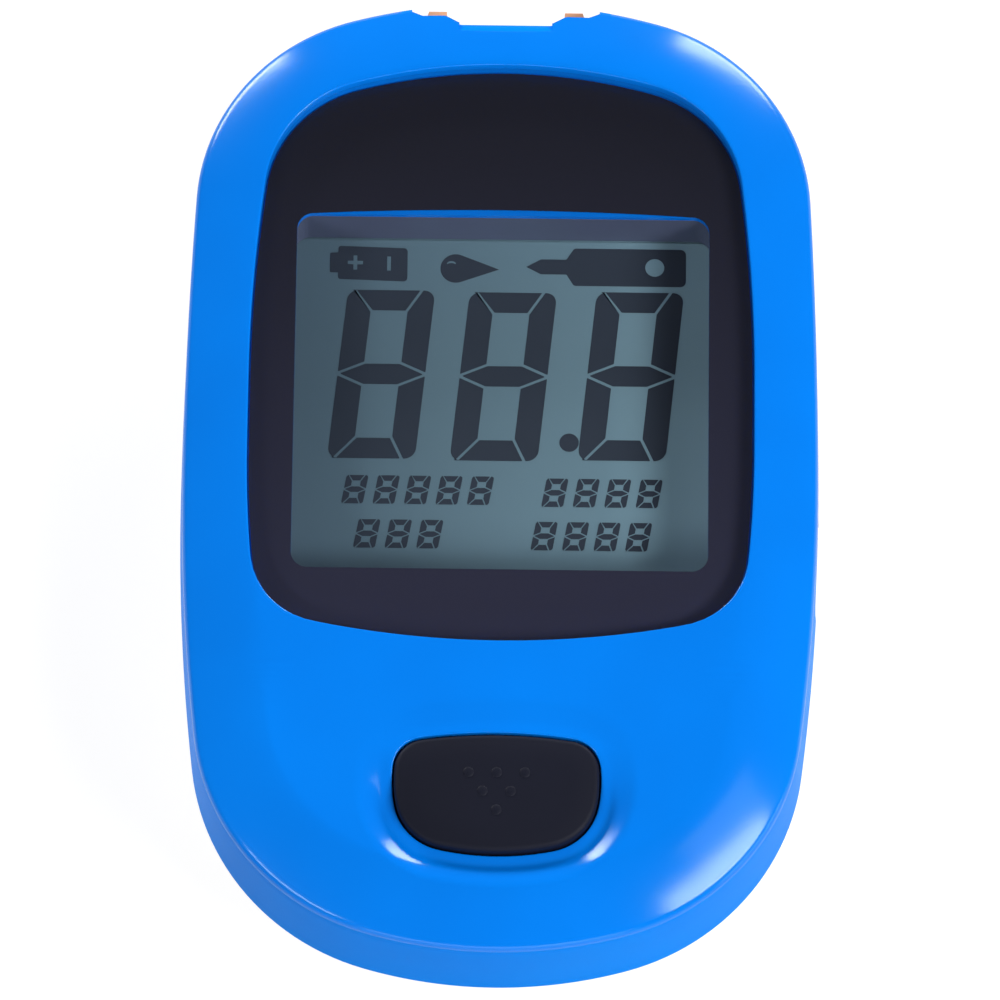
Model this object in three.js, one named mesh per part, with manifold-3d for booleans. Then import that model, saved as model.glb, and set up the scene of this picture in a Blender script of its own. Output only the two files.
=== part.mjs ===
// A pocket blood glucose meter, lying on its back.
// X is the width, +Y points to the test strip port, and the flat of the back rests on Z = 0.
// Two moulded shells close round a circuit board with a display, a strip port, a code socket and two coin cells.
// All lengths are in millimetres.

import * as THREE from "three";
import { mergeVertices } from "three/addons/utils/BufferGeometryUtils.js";
import Module from "manifold-3d";

const wasm = await Module();
wasm.setup();

// Driving dimensions of the whole meter
const bodyLength = 79;
const sideRoom = 12.7; // beside the cell bay, for the code chip and its socket
const partingHeight = 9.5; // where the two shells meet
const frontDepth = 10.7; // from the parting line to the flat round the screen and the button
const boardThickness = 1;
const boardRise = 0.4; // from the parting line to the top of the board

const halfLength = bodyLength / 2;
const faceHeight = partingHeight + frontDepth;
const boardTop = partingHeight + boardRise;
const boardBottom = boardTop - boardThickness;

// Clearances shared by mating pieces
const seatGap = 0.12; // round a piece that is fixed in its seat
const runGap = 0.25; // round a piece that moves
const closeGap = 0.1; // between the two shells, and between stacked flat pieces
const overrun = 1; // how far a cutter passes the surface that it cuts

// Two coin cells lie one above the other in a bay, and the meter is as wide as the bay and the room beside it
const cell = { radius: 10, height: 3.2, gap: 1, fromEnd: 7.3, lift: 0.5, capInset: 1.1, rimStep: 0.25 };
const cellPitch = 2 * cell.radius + cell.gap;
const cellMiddle = cell.fromEnd + cell.radius + cellPitch / 2 - halfLength; // between the two cells

const cover = {
  sideMargin: 1.2, // beside the cells
  wall: 1.4,
  endRise: 4.2, // the cover wraps round the end of the meter up to here
  travel: 3.5,
  tabLength: 3,
  tabFromTop: 2.5,
  tabStem: 1.1,
  tabReach: 2,
  hookThickness: 0.7,
  railThickness: 0.85,
  gripCount: 6,
  gripPitch: 1.7,
  gripWidth: 0.8,
  gripHalfLength: 6.5,
  gripDepth: 0.35,
  gripFromEnd: 14,
};
const coverHalfWidth = cell.radius + cover.sideMargin;
const cellBottom = cover.wall + cell.lift;
const cellTop = cellBottom + cell.height;

const bay = {
  sideWall: 1.1,
  lowWall: 1,
  highWall: 3.8,
  topMargin: 1.2, // from the upper edge of the cover to the end of the bay
  wellGap: 0.4,
  ceilingGap: 0.7, // room for the spring contacts over the cells
  ceiling: 1,
  linkHalfWidth: 5,
};
const bayHalfWidth = coverHalfWidth + bay.sideWall;
const bayLow = cellMiddle - cellPitch / 2 - cell.radius - bay.lowWall;
const bayHigh = cellMiddle + cellPitch / 2 + cell.radius + bay.highWall;
const bayCeiling = cellTop + bay.ceilingGap;
const bayTop = bayCeiling + bay.ceiling;
const coverTop = bayHigh - bay.topMargin;
const railBottom = cover.wall + runGap;
const railTop = railBottom + cover.railThickness;
const hookBase = railTop + runGap;
const hookTop = hookBase + cover.hookThickness;
const tabPlaces = [cellMiddle, coverTop - cover.tabFromTop];

const halfWidth = bayHalfWidth + sideRoom;
const bodyWidth = 2 * halfWidth;

// Each quarter of an outline is a side arc, a corner arc and an end arc that run into each other.
// The side arc bows in by its bow from the widest place to the corner.
const shellOutline = {
  halfWidth,
  top: { widest: 0, reach: halfLength, bow: 0.58, corner: 16.9, end: 44.7 },
  bottom: { widest: 0, reach: halfLength, bow: 1.18, corner: 18.9, end: 36.5 },
};

const shell = {
  sideDraft: 0.6, // how far the flank leans in from the parting line to the crease
  creaseRound: 0.15,
  rollRise: 2.1, // height of the rolled band between the crease and the flat of the face
  rollWidth: 5,
  sideWall: 1.6,
  roofWall: 1.8,
  backWall: 1.5,
  rearSetback: 0.35, // the rear shell stands in by this much, which draws the shadow line
  taper: 3.15, // how far the rear flank leans in down to the rounded back edge
  backEdgeHeight: 2.6,
  flatInset: 6.7, // from the outline to the flat of the back
  lipWall: 0.8,
  lipRise: 0.9,
  lipDepth: 1.4,
};
const creaseHeight = faceHeight - shell.rollRise;
const roofUnder = faceHeight - shell.roofWall;

const button = {
  length: 9.6,
  fromEnd: 7.45, // from the end of the meter to the lower edge of the cap
  widestRise: 5.85, // from the lower edge of the cap to its widest place
  shoulder: 0.45, // how far below the face the side wall of the cap ends
  crown: 0.18,
  edgeRound: 0.45,
  crownInset: 1.9,
  flange: 0.8,
  flangeThickness: 0.9,
  travel: 0.5,
  postRadius: 2.2,
  postHeight: 0.85,
  dishDepth: 0.85,
  dishWidth: 2.9,
  collarWall: 1.1,
  collarDrop: 1.2,
  dotRadius: 0.45,
  dotRise: 0.08,
  dotPitchX: 2.15,
  dotPitchY: 1.5,
  dotFromTop: 3.15,
};
const buttonLow = button.fromEnd - halfLength;
const buttonHigh = buttonLow + button.length;
const buttonWidest = buttonLow + button.widestRise;
const buttonOutline = {
  halfWidth: 7.85,
  top: { widest: buttonWidest, reach: buttonHigh, bow: 0.014, corner: 2.45, end: 39 },
  bottom: { widest: -buttonWidest, reach: -buttonLow, bow: 0.108, corner: 4.28, end: 20.8 },
};
const collarBottom = roofUnder - button.collarDrop;
const flangeTop = collarBottom - runGap;
const flangeBottom = flangeTop - button.flangeThickness;
const postBottom = flangeBottom - button.postHeight;

const lens = {
  sideMargin: 5.5,
  fromEnd: 6.75,
  fromButton: 7.65,
  upperShare: 0.5415, // of its length, above its widest place
  lowerShare: 0.3407, // of its length, below its widest place
  recess: 0.4,
  thickness: 1.2,
  bevel: 0.2,
  mask: 0.1,
  adhesive: 0.1,
  panRim: 1.4,
  panFloor: 1.4,
  adhesiveInset: 0.8,
};
const lensHigh = halfLength - lens.fromEnd;
const lensLow = buttonHigh + lens.fromButton;
const lensLength = lensHigh - lensLow;
const lensOutline = {
  halfWidth: halfWidth - lens.sideMargin,
  top: { widest: lensHigh - lens.upperShare * lensLength, reach: lensHigh, bow: 1, corner: 9.7, end: 42.3 },
  bottom: { widest: -lensLow - lens.lowerShare * lensLength, reach: -lensLow, bow: 0.52, corner: 6, end: 71.8 },
};
const lensTop = faceHeight - lens.recess;
const lensBottom = lensTop - lens.thickness;
const maskBottom = lensBottom - lens.mask;
const lensSeat = maskBottom - lens.adhesive;
const panBottom = lensSeat - lens.panFloor;

// The clear window in the black border of the lens
const pane = {
  sideMargin: 8.9,
  fromEnd: 18.7,
  fromButton: 13.85,
  corner: 1.3,
  topBow: 0.42, // how far the upper edge of the printed border bows up in its middle
  lip: 0.5, // thickness of the lens pan over the rim of the display frame
  collarWall: 1.1,
  collarDrop: 0.8, // how far the collar round the window hangs below the lens pan
};
const windowHalfWidth = halfWidth - pane.sideMargin;
const windowHigh = halfLength - pane.fromEnd;
const windowLow = buttonHigh + pane.fromButton;
const windowCollar = panBottom - pane.collarDrop;

const tact = {
  size: 6.2,
  chamfer: 0.6,
  wellDepth: 1.4,
  stemRadius: 1.75,
  stemRise: 1.9,
  domeGap: 0.2, // from the rim of the dome to the wall of its well
  domeThickness: 0.12,
  domeRise: 0.35,
  restGap: 0.15, // from the pressed stem to the top of the dome
};
const tactY = (buttonLow + buttonHigh) / 2;
const tactTop = postBottom - tact.stemRise;
const tactFloor = tactTop - tact.wellDepth;
const tactWell = tact.stemRadius + runGap;
const stemBottom = tactFloor + tact.domeRise + tact.restGap + button.travel;

const housingScrew = {
  upperFromSide: 12.5,
  upperFromEnd: 12,
  lowerFromEnd: 16,
  headRadius: 1.9,
  headHeight: 1.4,
  headChamfer: 0.3,
  shankRadius: 0.85,
  shankLength: 9.8,
  tip: 0.8,
  seatHeight: 4.6,
  wellGap: 0.3,
  holeGap: 0.3,
  pilotGap: 0.2,
  rearBossRadius: 2.9,
  frontBossRadius: 2.4,
  meetBelowBoard: 0.4, // the two bosses of a screw meet this far under the board
  pilotSpare: 0.9,
};
const screwWell = housingScrew.headRadius + housingScrew.wellGap;
const bossMeet = boardBottom - housingScrew.meetBelowBoard;

const display = {
  sideOverlap: 1, // how far the front glass reaches past the window at its sides
  lowOverlap: 1.4,
  highOverlap: 0.3,
  frameWall: 1.2,
  topGap: 0.3, // under the collar of the window
  bezelSideGap: 0.3,
  bezelLowStep: 0.25,
  rimWall: 0.9, // a rim of the frame stands up into the collar of the window
  glassThickness: 0.6,
  glassRise: 3.2, // from the board to the top of the front glass
  ledge: 2.1, // strip at the low end of the front glass that the zebra connector presses on
  film: 0.15,
  filmInset: 0.4,
  reflector: 0.15,
  seat: 0.8, // how far the frame reaches under the glass at its sides
  zebraInset: 0.9,
  zebraWidth: 1.4,
  ribWidth: 0.8,
};
const glassHalfWidth = windowHalfWidth + display.sideOverlap;
const glassLow = windowLow - display.lowOverlap;
const glassHigh = windowHigh + display.highOverlap;
const glassTop = boardTop + display.glassRise;
const frameHalfWidth = glassHalfWidth + display.frameWall;
const frameLow = glassLow - display.frameWall;
const frameHigh = glassHigh + display.frameWall;
const frameTop = windowCollar - display.topGap;
const rimMargin = display.bezelSideGap + display.rimWall;
const rimRoom = rimMargin + seatGap;
const lipBottom = lensSeat - pane.lip;
const rimTop = lipBottom - closeGap;

const boardScrew = {
  upperFromSide: 7.4,
  upperFromEnd: 13.9,
  lowerFromSide: 5.4,
  lowerFromFrame: 3.3, // below the display frame
  headRadius: 1.6,
  headHeight: 0.9,
  headChamfer: 0.2,
  shankRadius: 0.65,
  shankLength: 5.2,
  tip: 0.6,
  bossRadius: 1.8,
  pilotGap: 0.2,
  holeGap: 0.3,
  pilotSpare: 0.8,
};

const board = { inset: 3, bossGap: 0.35, chipGap: 0.5 };

const processor = { length: 10, width: 10, height: 1.4, draft: 0.15 };
const smallChip = { length: 5, width: 4, height: 1.3, draft: 0.15 };
const crystal = { placeShares: [-0.656, -0.152], radius: 1.5, length: 8, flat: 0.25 };

const port = {
  halfWidth: 6.35,
  setback: 0.65, // from the end of the meter to the tips of the prongs
  length: 11.85,
  height: 6.9,
  mouthDepth: 1.85, // the upper lip stops this far behind the prongs, so that a strip can be laid in
  mouthHalfWidth: 4.6,
  lipStep: 0.35,
  prongInset: 0.95,
  prongChamfer: 0.35,
  prongRound: 0.9,
  slotHalfWidth: 3.65,
  slotRise: 2.7,
  slotHeight: 0.8,
  funnelLength: 2.6,
  funnelRise: 1.2,
  sillRise: 1.9, // the foot of the guide fills the opening in the end wall this far above the parting line
};
const portFront = halfLength - port.setback;
const portBack = portFront - port.length;
const portTop = boardTop + port.height;
const portMouth = portFront - port.mouthDepth;
const slotFloor = boardTop + port.slotRise;
const slotSpan = [slotFloor, slotFloor + port.slotHeight];

// The notch over the port steps down from two shoulders to a shelf and then to its floor
const notch = {
  floorDepth: 2.64,
  shelfDepth: 1.84,
  shoulderDepth: 1.38,
  shelfGap: 0.15,
  startGap: 0.2,
  sideGap: 1.05,
  chamferRise: 0.7, // from the crease to the chamfer on the edge of the floor
};

const stripContact = {
  count: 5,
  pitch: 1.3,
  width: 0.5,
  thickness: 0.2,
  grooveGap: 0.1,
  blockHalfWidth: 5.4,
  blockLength: 3.3,
  blockHeight: 5.1,
  armRise: 0.85, // over the roof of the slot
  footLength: 0.75,
  riserOffset: 0.3,
  dipShare: 0.75,
  tipLift: 0.3,
};
const blockBack = portBack - stripContact.blockLength;

const codeChip = {
  low: -1.6,
  length: 15,
  headDepth: 4,
  headHeight: 6.4,
  headDrop: 0.5, // the handle reaches this far below the blade
  bladeInset: 1.2,
  bladeThickness: 1.7,
  bladeUnderBoard: 0.7,
  bladeSink: 1.6, // how far the blade's board goes into the handle
  tipGap: 0.5, // from the tip of the blade to the back of its socket
  nailDepth: 0.5,
  nailWidth: 1.4,
  nailFromTop: 1.8,
};
const chipHigh = codeChip.low + codeChip.length;
const headInner = halfWidth - codeChip.headDepth;
const bladeTop = boardBottom - codeChip.bladeUnderBoard;
const bladeBottom = bladeTop - codeChip.bladeThickness;
const bladeSpan = [codeChip.low + codeChip.bladeInset, chipHigh - codeChip.bladeInset];
const bladeEnd = headInner + codeChip.bladeSink;
const headBottom = bladeBottom - codeChip.headDrop;
const headTop = headBottom + codeChip.headHeight;
const nailHeight = headTop - codeChip.nailFromTop;

const codeSocket = {
  bayGap: 0.5,
  depth: 3.4,
  margin: 1,
  floor: 0.45,
  back: 0.7,
  contactCount: 4,
  contactPitch: 2.6,
  contactWidth: 0.8,
  contactThickness: 0.12,
  footLength: 0.8,
};
const socketInner = bayHalfWidth + codeSocket.bayGap;
const socketOuter = socketInner + codeSocket.depth;
const bladeTip = socketInner + codeSocket.back + codeChip.tipGap;

// The pale tongue that stands up in a notch of the blue flank, round the handle of the code chip
const tongue = { lowMargin: 7.6, highMargin: 7.2, topMargin: 1.5, slant: 1.2, wall: 1.6 };
const tongueLow = codeChip.low - tongue.lowMargin;
const tongueHigh = chipHigh + tongue.highMargin;
const tongueTop = headTop + tongue.topMargin;

const leaf = { width: 3.6, thickness: 0.25, halfLength: 5.5, contactOffset: 2.5, gap: 0.06, slotGap: 0.3 };
const clip = { width: 3, thickness: 0.2, footRise: 0.7, pocketGap: 0.25 };

const rib = { thickness: 1, gap: 0.3, socketGap: 1.2, reachOut: 0.4 };

// Numbers of flat facets
const facets = { side: 2, corner: 7, end: 3, bend: 4, round: 20, smallRound: 14, cell: 32 };

const blueShell = new THREE.MeshStandardMaterial({ color: 0x007ff2, roughness: 0.28, metalness: 0 });
const paleShell = new THREE.MeshStandardMaterial({ color: 0xdfe3ec, roughness: 0.45, metalness: 0 });
const clearLens = new THREE.MeshStandardMaterial({
  color: 0xb8c2cc,
  roughness: 0.06,
  metalness: 0,
  transparent: true,
  opacity: 0.35,
});
const blackInk = new THREE.MeshStandardMaterial({ color: 0x1c1c25, roughness: 0.3, metalness: 0 });
const softBlack = new THREE.MeshStandardMaterial({ color: 0x1c1f2c, roughness: 0.6, metalness: 0 });
const frameGrey = new THREE.MeshStandardMaterial({ color: 0xa3a5b8, roughness: 0.5, metalness: 0 });
const displayGlass = new THREE.MeshStandardMaterial({ color: 0x586b77, roughness: 0.2, metalness: 0 });
const polariserFilm = new THREE.MeshStandardMaterial({ color: 0x66787f, roughness: 0.35, metalness: 0 });
const silverFilm = new THREE.MeshStandardMaterial({ color: 0xc8ccd0, roughness: 0.4, metalness: 0.8 });
const zebraRubber = new THREE.MeshStandardMaterial({ color: 0xd8b0b0, roughness: 0.7, metalness: 0 });
const boardGreen = new THREE.MeshStandardMaterial({ color: 0x1f6b3f, roughness: 0.5, metalness: 0 });
const chipBlack = new THREE.MeshStandardMaterial({ color: 0x18181a, roughness: 0.55, metalness: 0 });
const orangePlastic = new THREE.MeshStandardMaterial({ color: 0xf0803c, roughness: 0.4, metalness: 0 });
const steel = new THREE.MeshStandardMaterial({ color: 0xb4b8bd, roughness: 0.3, metalness: 1 });
const goldPlate = new THREE.MeshStandardMaterial({ color: 0xd8b25a, roughness: 0.3, metalness: 1 });

// Geometry helpers

function quarterArcs(halfWidth, { widest, reach, bow, corner, end }) {
  const side = (reach - widest - corner) ** 2 / (2 * bow);
  const sideCentre = new THREE.Vector2(halfWidth - side, widest);
  const endCentre = new THREE.Vector2(0, reach - end);
  const sideToCorner = side - corner;
  const endToCorner = end - corner;
  const span = endCentre.clone().sub(sideCentre);
  const distance = span.length();
  const along = (sideToCorner ** 2 - endToCorner ** 2 + distance ** 2) / (2 * distance);
  const across = Math.sqrt(sideToCorner ** 2 - along ** 2);
  const unit = span.clone().normalize();
  const left = new THREE.Vector2(-unit.y, unit.x);
  const cornerCentre = sideCentre.clone().addScaledVector(unit, along).addScaledVector(left, across);
  const turn = cornerCentre.clone().sub(sideCentre).angle();
  const finish = cornerCentre.clone().sub(endCentre).angle();
  const arcs = [
    { centre: sideCentre, radius: side, from: 0, to: turn, steps: facets.side },
    { centre: cornerCentre, radius: corner, from: turn, to: finish, steps: facets.corner },
    { centre: endCentre, radius: end, from: finish, to: Math.PI / 2, steps: facets.end },
  ];
  const points = [];
  arcs.forEach(({ centre, radius, from, to, steps }, index) => {
    for (let step = index === 0 ? 0 : 1; step <= steps; step += 1) {
      const angle = THREE.MathUtils.lerp(from, to, step / steps);
      const normal = new THREE.Vector2(Math.cos(angle), Math.sin(angle));
      points.push({ point: centre.clone().addScaledVector(normal, radius), normal });
    }
  });
  return points;
}

// Points with outward normals, anticlockwise from the right-hand side
function outlinePoints({ halfWidth, top, bottom }) {
  const mirrored = (points, signX, signY) =>
    points.map(({ point, normal }) => ({
      point: new THREE.Vector2(point.x * signX, point.y * signY),
      normal: new THREE.Vector2(normal.x * signX, normal.y * signY),
    }));
  const upper = quarterArcs(halfWidth, top);
  const lower = quarterArcs(halfWidth, bottom);
  const round = [
    ...upper,
    ...mirrored(upper, -1, 1).reverse(),
    ...mirrored(lower, -1, -1),
    ...mirrored(lower, 1, -1).reverse(),
  ];
  const same = (a, b) => a.point.distanceTo(b.point) < halfWidth * Number.EPSILON ** 0.5;
  return round.filter((entry, index) => !same(entry, round[(index + 1) % round.length]));
}

// A closed solid through rings of one outline, each ring set in by its inset and lying at its height
function loft(outline, rings, crown = 0) {
  const points = outlinePoints(outline);
  const count = points.length;
  const positions = [];
  for (const { inset, z } of rings) {
    for (const { point, normal } of points) {
      positions.push(point.x - normal.x * inset, point.y - normal.y * inset, z);
    }
  }
  const middle = points.reduce((sum, { point }) => sum + point.y, 0) / count;
  const bottomCentre = rings.length * count;
  positions.push(0, middle, rings[0].z);
  positions.push(0, middle, rings[rings.length - 1].z + crown);
  const faces = [];
  for (let j = 0; j < count; j += 1) {
    const next = (j + 1) % count;
    for (let i = 0; i < rings.length - 1; i += 1) {
      const low = i * count;
      const high = low + count;
      faces.push(low + j, low + next, high + next, low + j, high + next, high + j);
    }
    const last = (rings.length - 1) * count;
    faces.push(bottomCentre, next, j, bottomCentre + 1, last + j, last + next);
  }
  const geometry = new THREE.BufferGeometry();
  geometry.setAttribute("position", new THREE.Float32BufferAttribute(positions, 3));
  geometry.setIndex(faces);
  return solid(geometry);
}

function solid(geometry) {
  const bare = geometry.clone();
  bare.deleteAttribute("normal");
  bare.deleteAttribute("uv");
  const merged = mergeVertices(bare);
  const mesh = new wasm.Mesh({
    numProp: 3,
    vertProperties: new Float32Array(merged.attributes.position.array),
    triVerts: new Uint32Array(merged.index.array),
  });
  return new wasm.Manifold(mesh);
}

function join(...solids) {
  return solids.reduce((sum, next) => sum.add(next));
}

function cut(body, ...tools) {
  return tools.reduce((rest, tool) => rest.subtract(tool), body);
}

function block([x0, x1], [y0, y1], [z0, z1]) {
  const geometry = new THREE.BoxGeometry(x1 - x0, y1 - y0, z1 - z0);
  geometry.translate((x0 + x1) / 2, (y0 + y1) / 2, (z0 + z1) / 2);
  return solid(geometry);
}

function post(radius, [z0, z1], { x, y }, sides = facets.smallRound) {
  const geometry = new THREE.CylinderGeometry(radius, radius, z1 - z0, sides);
  geometry.rotateX(Math.PI / 2);
  geometry.translate(x, y, (z0 + z1) / 2);
  return solid(geometry);
}

// A turned solid on an upright axis from a profile of [radius, height] pairs
function turned(profile, { x, y }, sides) {
  const geometry = new THREE.LatheGeometry(
    profile.map(([radius, height]) => new THREE.Vector2(radius, height)),
    sides,
  );
  geometry.rotateX(Math.PI / 2);
  geometry.translate(x, y, 0);
  return solid(geometry);
}

function extruded(shape, [from, to]) {
  const depth = to - from;
  const geometry = new THREE.ExtrudeGeometry(shape, { depth, bevelEnabled: false, curveSegments: facets.bend });
  geometry.translate(0, 0, from);
  return geometry;
}

const polygon = (points) => new THREE.Shape(points.map(([a, b]) => new THREE.Vector2(a, b)));

function upright(points, span) {
  return solid(extruded(polygon(points), span));
}

// points are [y, z] pairs, and span is along X
function alongX(points, span) {
  const turn = new THREE.Matrix4().makeBasis(
    new THREE.Vector3(0, 1, 0),
    new THREE.Vector3(0, 0, 1),
    new THREE.Vector3(1, 0, 0),
  );
  return solid(extruded(polygon(points), span).applyMatrix4(turn));
}

// points are [z, x] pairs, and span is along Y
function alongY(points, span) {
  const turn = new THREE.Matrix4().makeBasis(
    new THREE.Vector3(0, 0, 1),
    new THREE.Vector3(1, 0, 0),
    new THREE.Vector3(0, 1, 0),
  );
  return solid(extruded(polygon(points), span).applyMatrix4(turn));
}

function roundedRectangle([x0, x1], [y0, y1], radius) {
  const shape = new THREE.Shape();
  shape.absarc(x1 - radius, y1 - radius, radius, 0, Math.PI / 2);
  shape.absarc(x0 + radius, y1 - radius, radius, Math.PI / 2, Math.PI);
  shape.absarc(x0 + radius, y0 + radius, radius, Math.PI, Math.PI * 1.5);
  shape.absarc(x1 - radius, y0 + radius, radius, Math.PI * 1.5, Math.PI * 2);
  return shape;
}

function windowPrism(grow, span) {
  const shape = roundedRectangle(
    [-windowHalfWidth - grow, windowHalfWidth + grow],
    [windowLow - grow, windowHigh + grow],
    pane.corner + grow,
  );
  return solid(extruded(shape, span));
}

function windowBow(span) {
  const reach = windowHalfWidth - pane.corner;
  const shape = new THREE.Shape();
  shape.moveTo(-reach, windowHigh - pane.corner);
  shape.lineTo(reach, windowHigh - pane.corner);
  shape.lineTo(reach, windowHigh);
  shape.quadraticCurveTo(0, windowHigh + 2 * pane.topBow, -reach, windowHigh);
  return solid(extruded(shape, span));
}

function outlinePrism(outline, inset, [z0, z1]) {
  return loft(outline, [
    { inset, z: z0 },
    { inset, z: z1 },
  ]);
}

// The closed outline of a sheet-metal strip that follows a line of [a, b] points
function stripOutline(line, thickness) {
  const points = line.map(([a, b]) => new THREE.Vector2(a, b));
  const sides = [[], []];
  points.forEach((point, index) => {
    const before = points[Math.max(index - 1, 0)];
    const after = points[Math.min(index + 1, points.length - 1)];
    const into = point.clone().sub(before).normalize();
    const out = after.clone().sub(point).normalize();
    const first = index === 0 ? out : into;
    const second = index === points.length - 1 ? into : out;
    const bisector = first.clone().add(second).normalize();
    const normal = new THREE.Vector2(-bisector.y, bisector.x);
    const reach = thickness / 2 / normal.dot(new THREE.Vector2(-first.y, first.x));
    sides[0].push(point.clone().addScaledVector(normal, reach).toArray());
    sides[1].push(point.clone().addScaledVector(normal, -reach).toArray());
  });
  return [...sides[1], ...sides[0].reverse()];
}

const pieces = new THREE.Group();

function piece(name, body, material) {
  const { vertProperties, triVerts } = body.getMesh();
  const geometry = new THREE.BufferGeometry();
  geometry.setAttribute("position", new THREE.BufferAttribute(vertProperties, 3));
  geometry.setIndex(new THREE.BufferAttribute(triVerts, 1));
  geometry.computeVertexNormals();
  const mesh = new THREE.Mesh(geometry, material);
  mesh.name = name;
  pieces.add(mesh);
  return mesh;
}

const bothSides = [-1, 1];
const fourCorners = (upper, lower) => [
  new THREE.Vector2(-upper.x, upper.y),
  upper,
  new THREE.Vector2(-lower.x, lower.y),
  lower,
];
const housingScrewPlaces = fourCorners(
  new THREE.Vector2(halfWidth - housingScrew.upperFromSide, halfLength - housingScrew.upperFromEnd),
  new THREE.Vector2(bayHalfWidth + screwWell, housingScrew.lowerFromEnd - halfLength),
);
const boardScrewPlaces = fourCorners(
  new THREE.Vector2(halfWidth - boardScrew.upperFromSide, halfLength - boardScrew.upperFromEnd),
  new THREE.Vector2(halfWidth - boardScrew.lowerFromSide, frameLow - boardScrew.lowerFromFrame),
);

// Profiles of the two shells

// Rings of the front shell: a leaning flank, a crisp crease and a rolled band up to the flat of the face
function frontRings(wall, roof, foot, rollSteps) {
  const inset = wall + shell.sideDraft;
  const rings = [
    { inset: wall, z: foot },
    { inset, z: creaseHeight - roof - shell.creaseRound },
  ];
  for (let step = 0; step <= rollSteps; step += 1) {
    const share = step / rollSteps;
    rings.push({
      inset: inset + shell.creaseRound + share * shell.rollWidth,
      z: creaseHeight - roof + shell.rollRise * (1 - (1 - share) ** 2),
    });
  }
  return rings;
}

// Rings of the rear shell: a flat back, a rounded edge and a flank that leans out to the parting line
function rearRings(wall, top, edgeSteps) {
  const rise = partingHeight - closeGap;
  const start = new THREE.Vector2(shell.flatInset + wall, wall);
  const bend = new THREE.Vector2(
    shell.rearSetback + (shell.taper * rise) / (rise - shell.backEdgeHeight) + wall,
    wall,
  );
  const end = new THREE.Vector2(shell.rearSetback + shell.taper + wall, shell.backEdgeHeight);
  const edge = new THREE.QuadraticBezierCurve(start, bend, end).getPoints(edgeSteps);
  const rings = edge.map(({ x, y }) => ({ inset: x, z: y }));
  rings.push({ inset: shell.rearSetback + wall, z: rise });
  if (top > rise) {
    rings.push({ inset: shell.rearSetback + wall, z: top });
  }
  return rings;
}

const frontOuter = loft(shellOutline, frontRings(0, 0, partingHeight, 6));
const frontInner = loft(
  shellOutline,
  frontRings(shell.sideWall, shell.roofWall, partingHeight - overrun, 3),
);
const rearOuter = loft(shellOutline, rearRings(0, 0, 4));

function flankTrapezoid(grow, span) {
  const foot = partingHeight - closeGap - grow;
  return alongX(
    [
      [tongueLow - grow, foot],
      [tongueHigh + grow, foot],
      [tongueHigh + grow, tongueTop - tongue.slant],
      [tongueHigh - tongue.slant, tongueTop + grow],
      [tongueLow + tongue.slant, tongueTop + grow],
      [tongueLow - grow, tongueTop - tongue.slant],
    ],
    span,
  );
}

const portWidth = [-port.halfWidth - seatGap, port.halfWidth + seatGap];

// Front shell: the blue upper half, with the lens pan, the button dish and the port notch

function portNotch() {
  const shoulder = port.halfWidth + notch.sideGap;
  const shelf = halfLength - notch.shelfDepth;
  const right = [
    [port.slotHalfWidth, halfLength - notch.floorDepth],
    [port.mouthHalfWidth + notch.shelfGap, shelf],
    [port.halfWidth + notch.startGap, shelf],
    [shoulder, halfLength - notch.shoulderDepth],
    [shoulder, halfLength + overrun],
  ];
  const left = right.map(([x, y]) => [-x, y]).reverse();
  const chamferLow = creaseHeight + notch.chamferRise;
  const climb = faceHeight + overrun - chamferLow;
  const floor = halfLength - notch.floorDepth;
  const chamfer = alongX(
    [
      [floor, chamferLow],
      [floor + climb, chamferLow],
      [floor + climb, chamferLow + climb],
      [floor - climb, chamferLow + climb],
    ],
    [-port.slotHalfWidth, port.slotHalfWidth],
  );
  return upright([...left, ...right], [partingHeight - overrun, faceHeight + overrun]).add(chamfer);
}

function buttonDish() {
  const steps = 5;
  const rings = [{ inset: -runGap, z: faceHeight - button.dishDepth - overrun }];
  for (let step = 0; step <= steps; step += 1) {
    const share = step / steps;
    const fall = (1 + Math.cos(Math.PI * share)) / 2;
    rings.push({ inset: -runGap - share * button.dishWidth, z: faceHeight - button.dishDepth * fall });
  }
  rings.push({ inset: -runGap - button.dishWidth - overrun, z: faceHeight + overrun });
  return loft(buttonOutline, rings);
}

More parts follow.
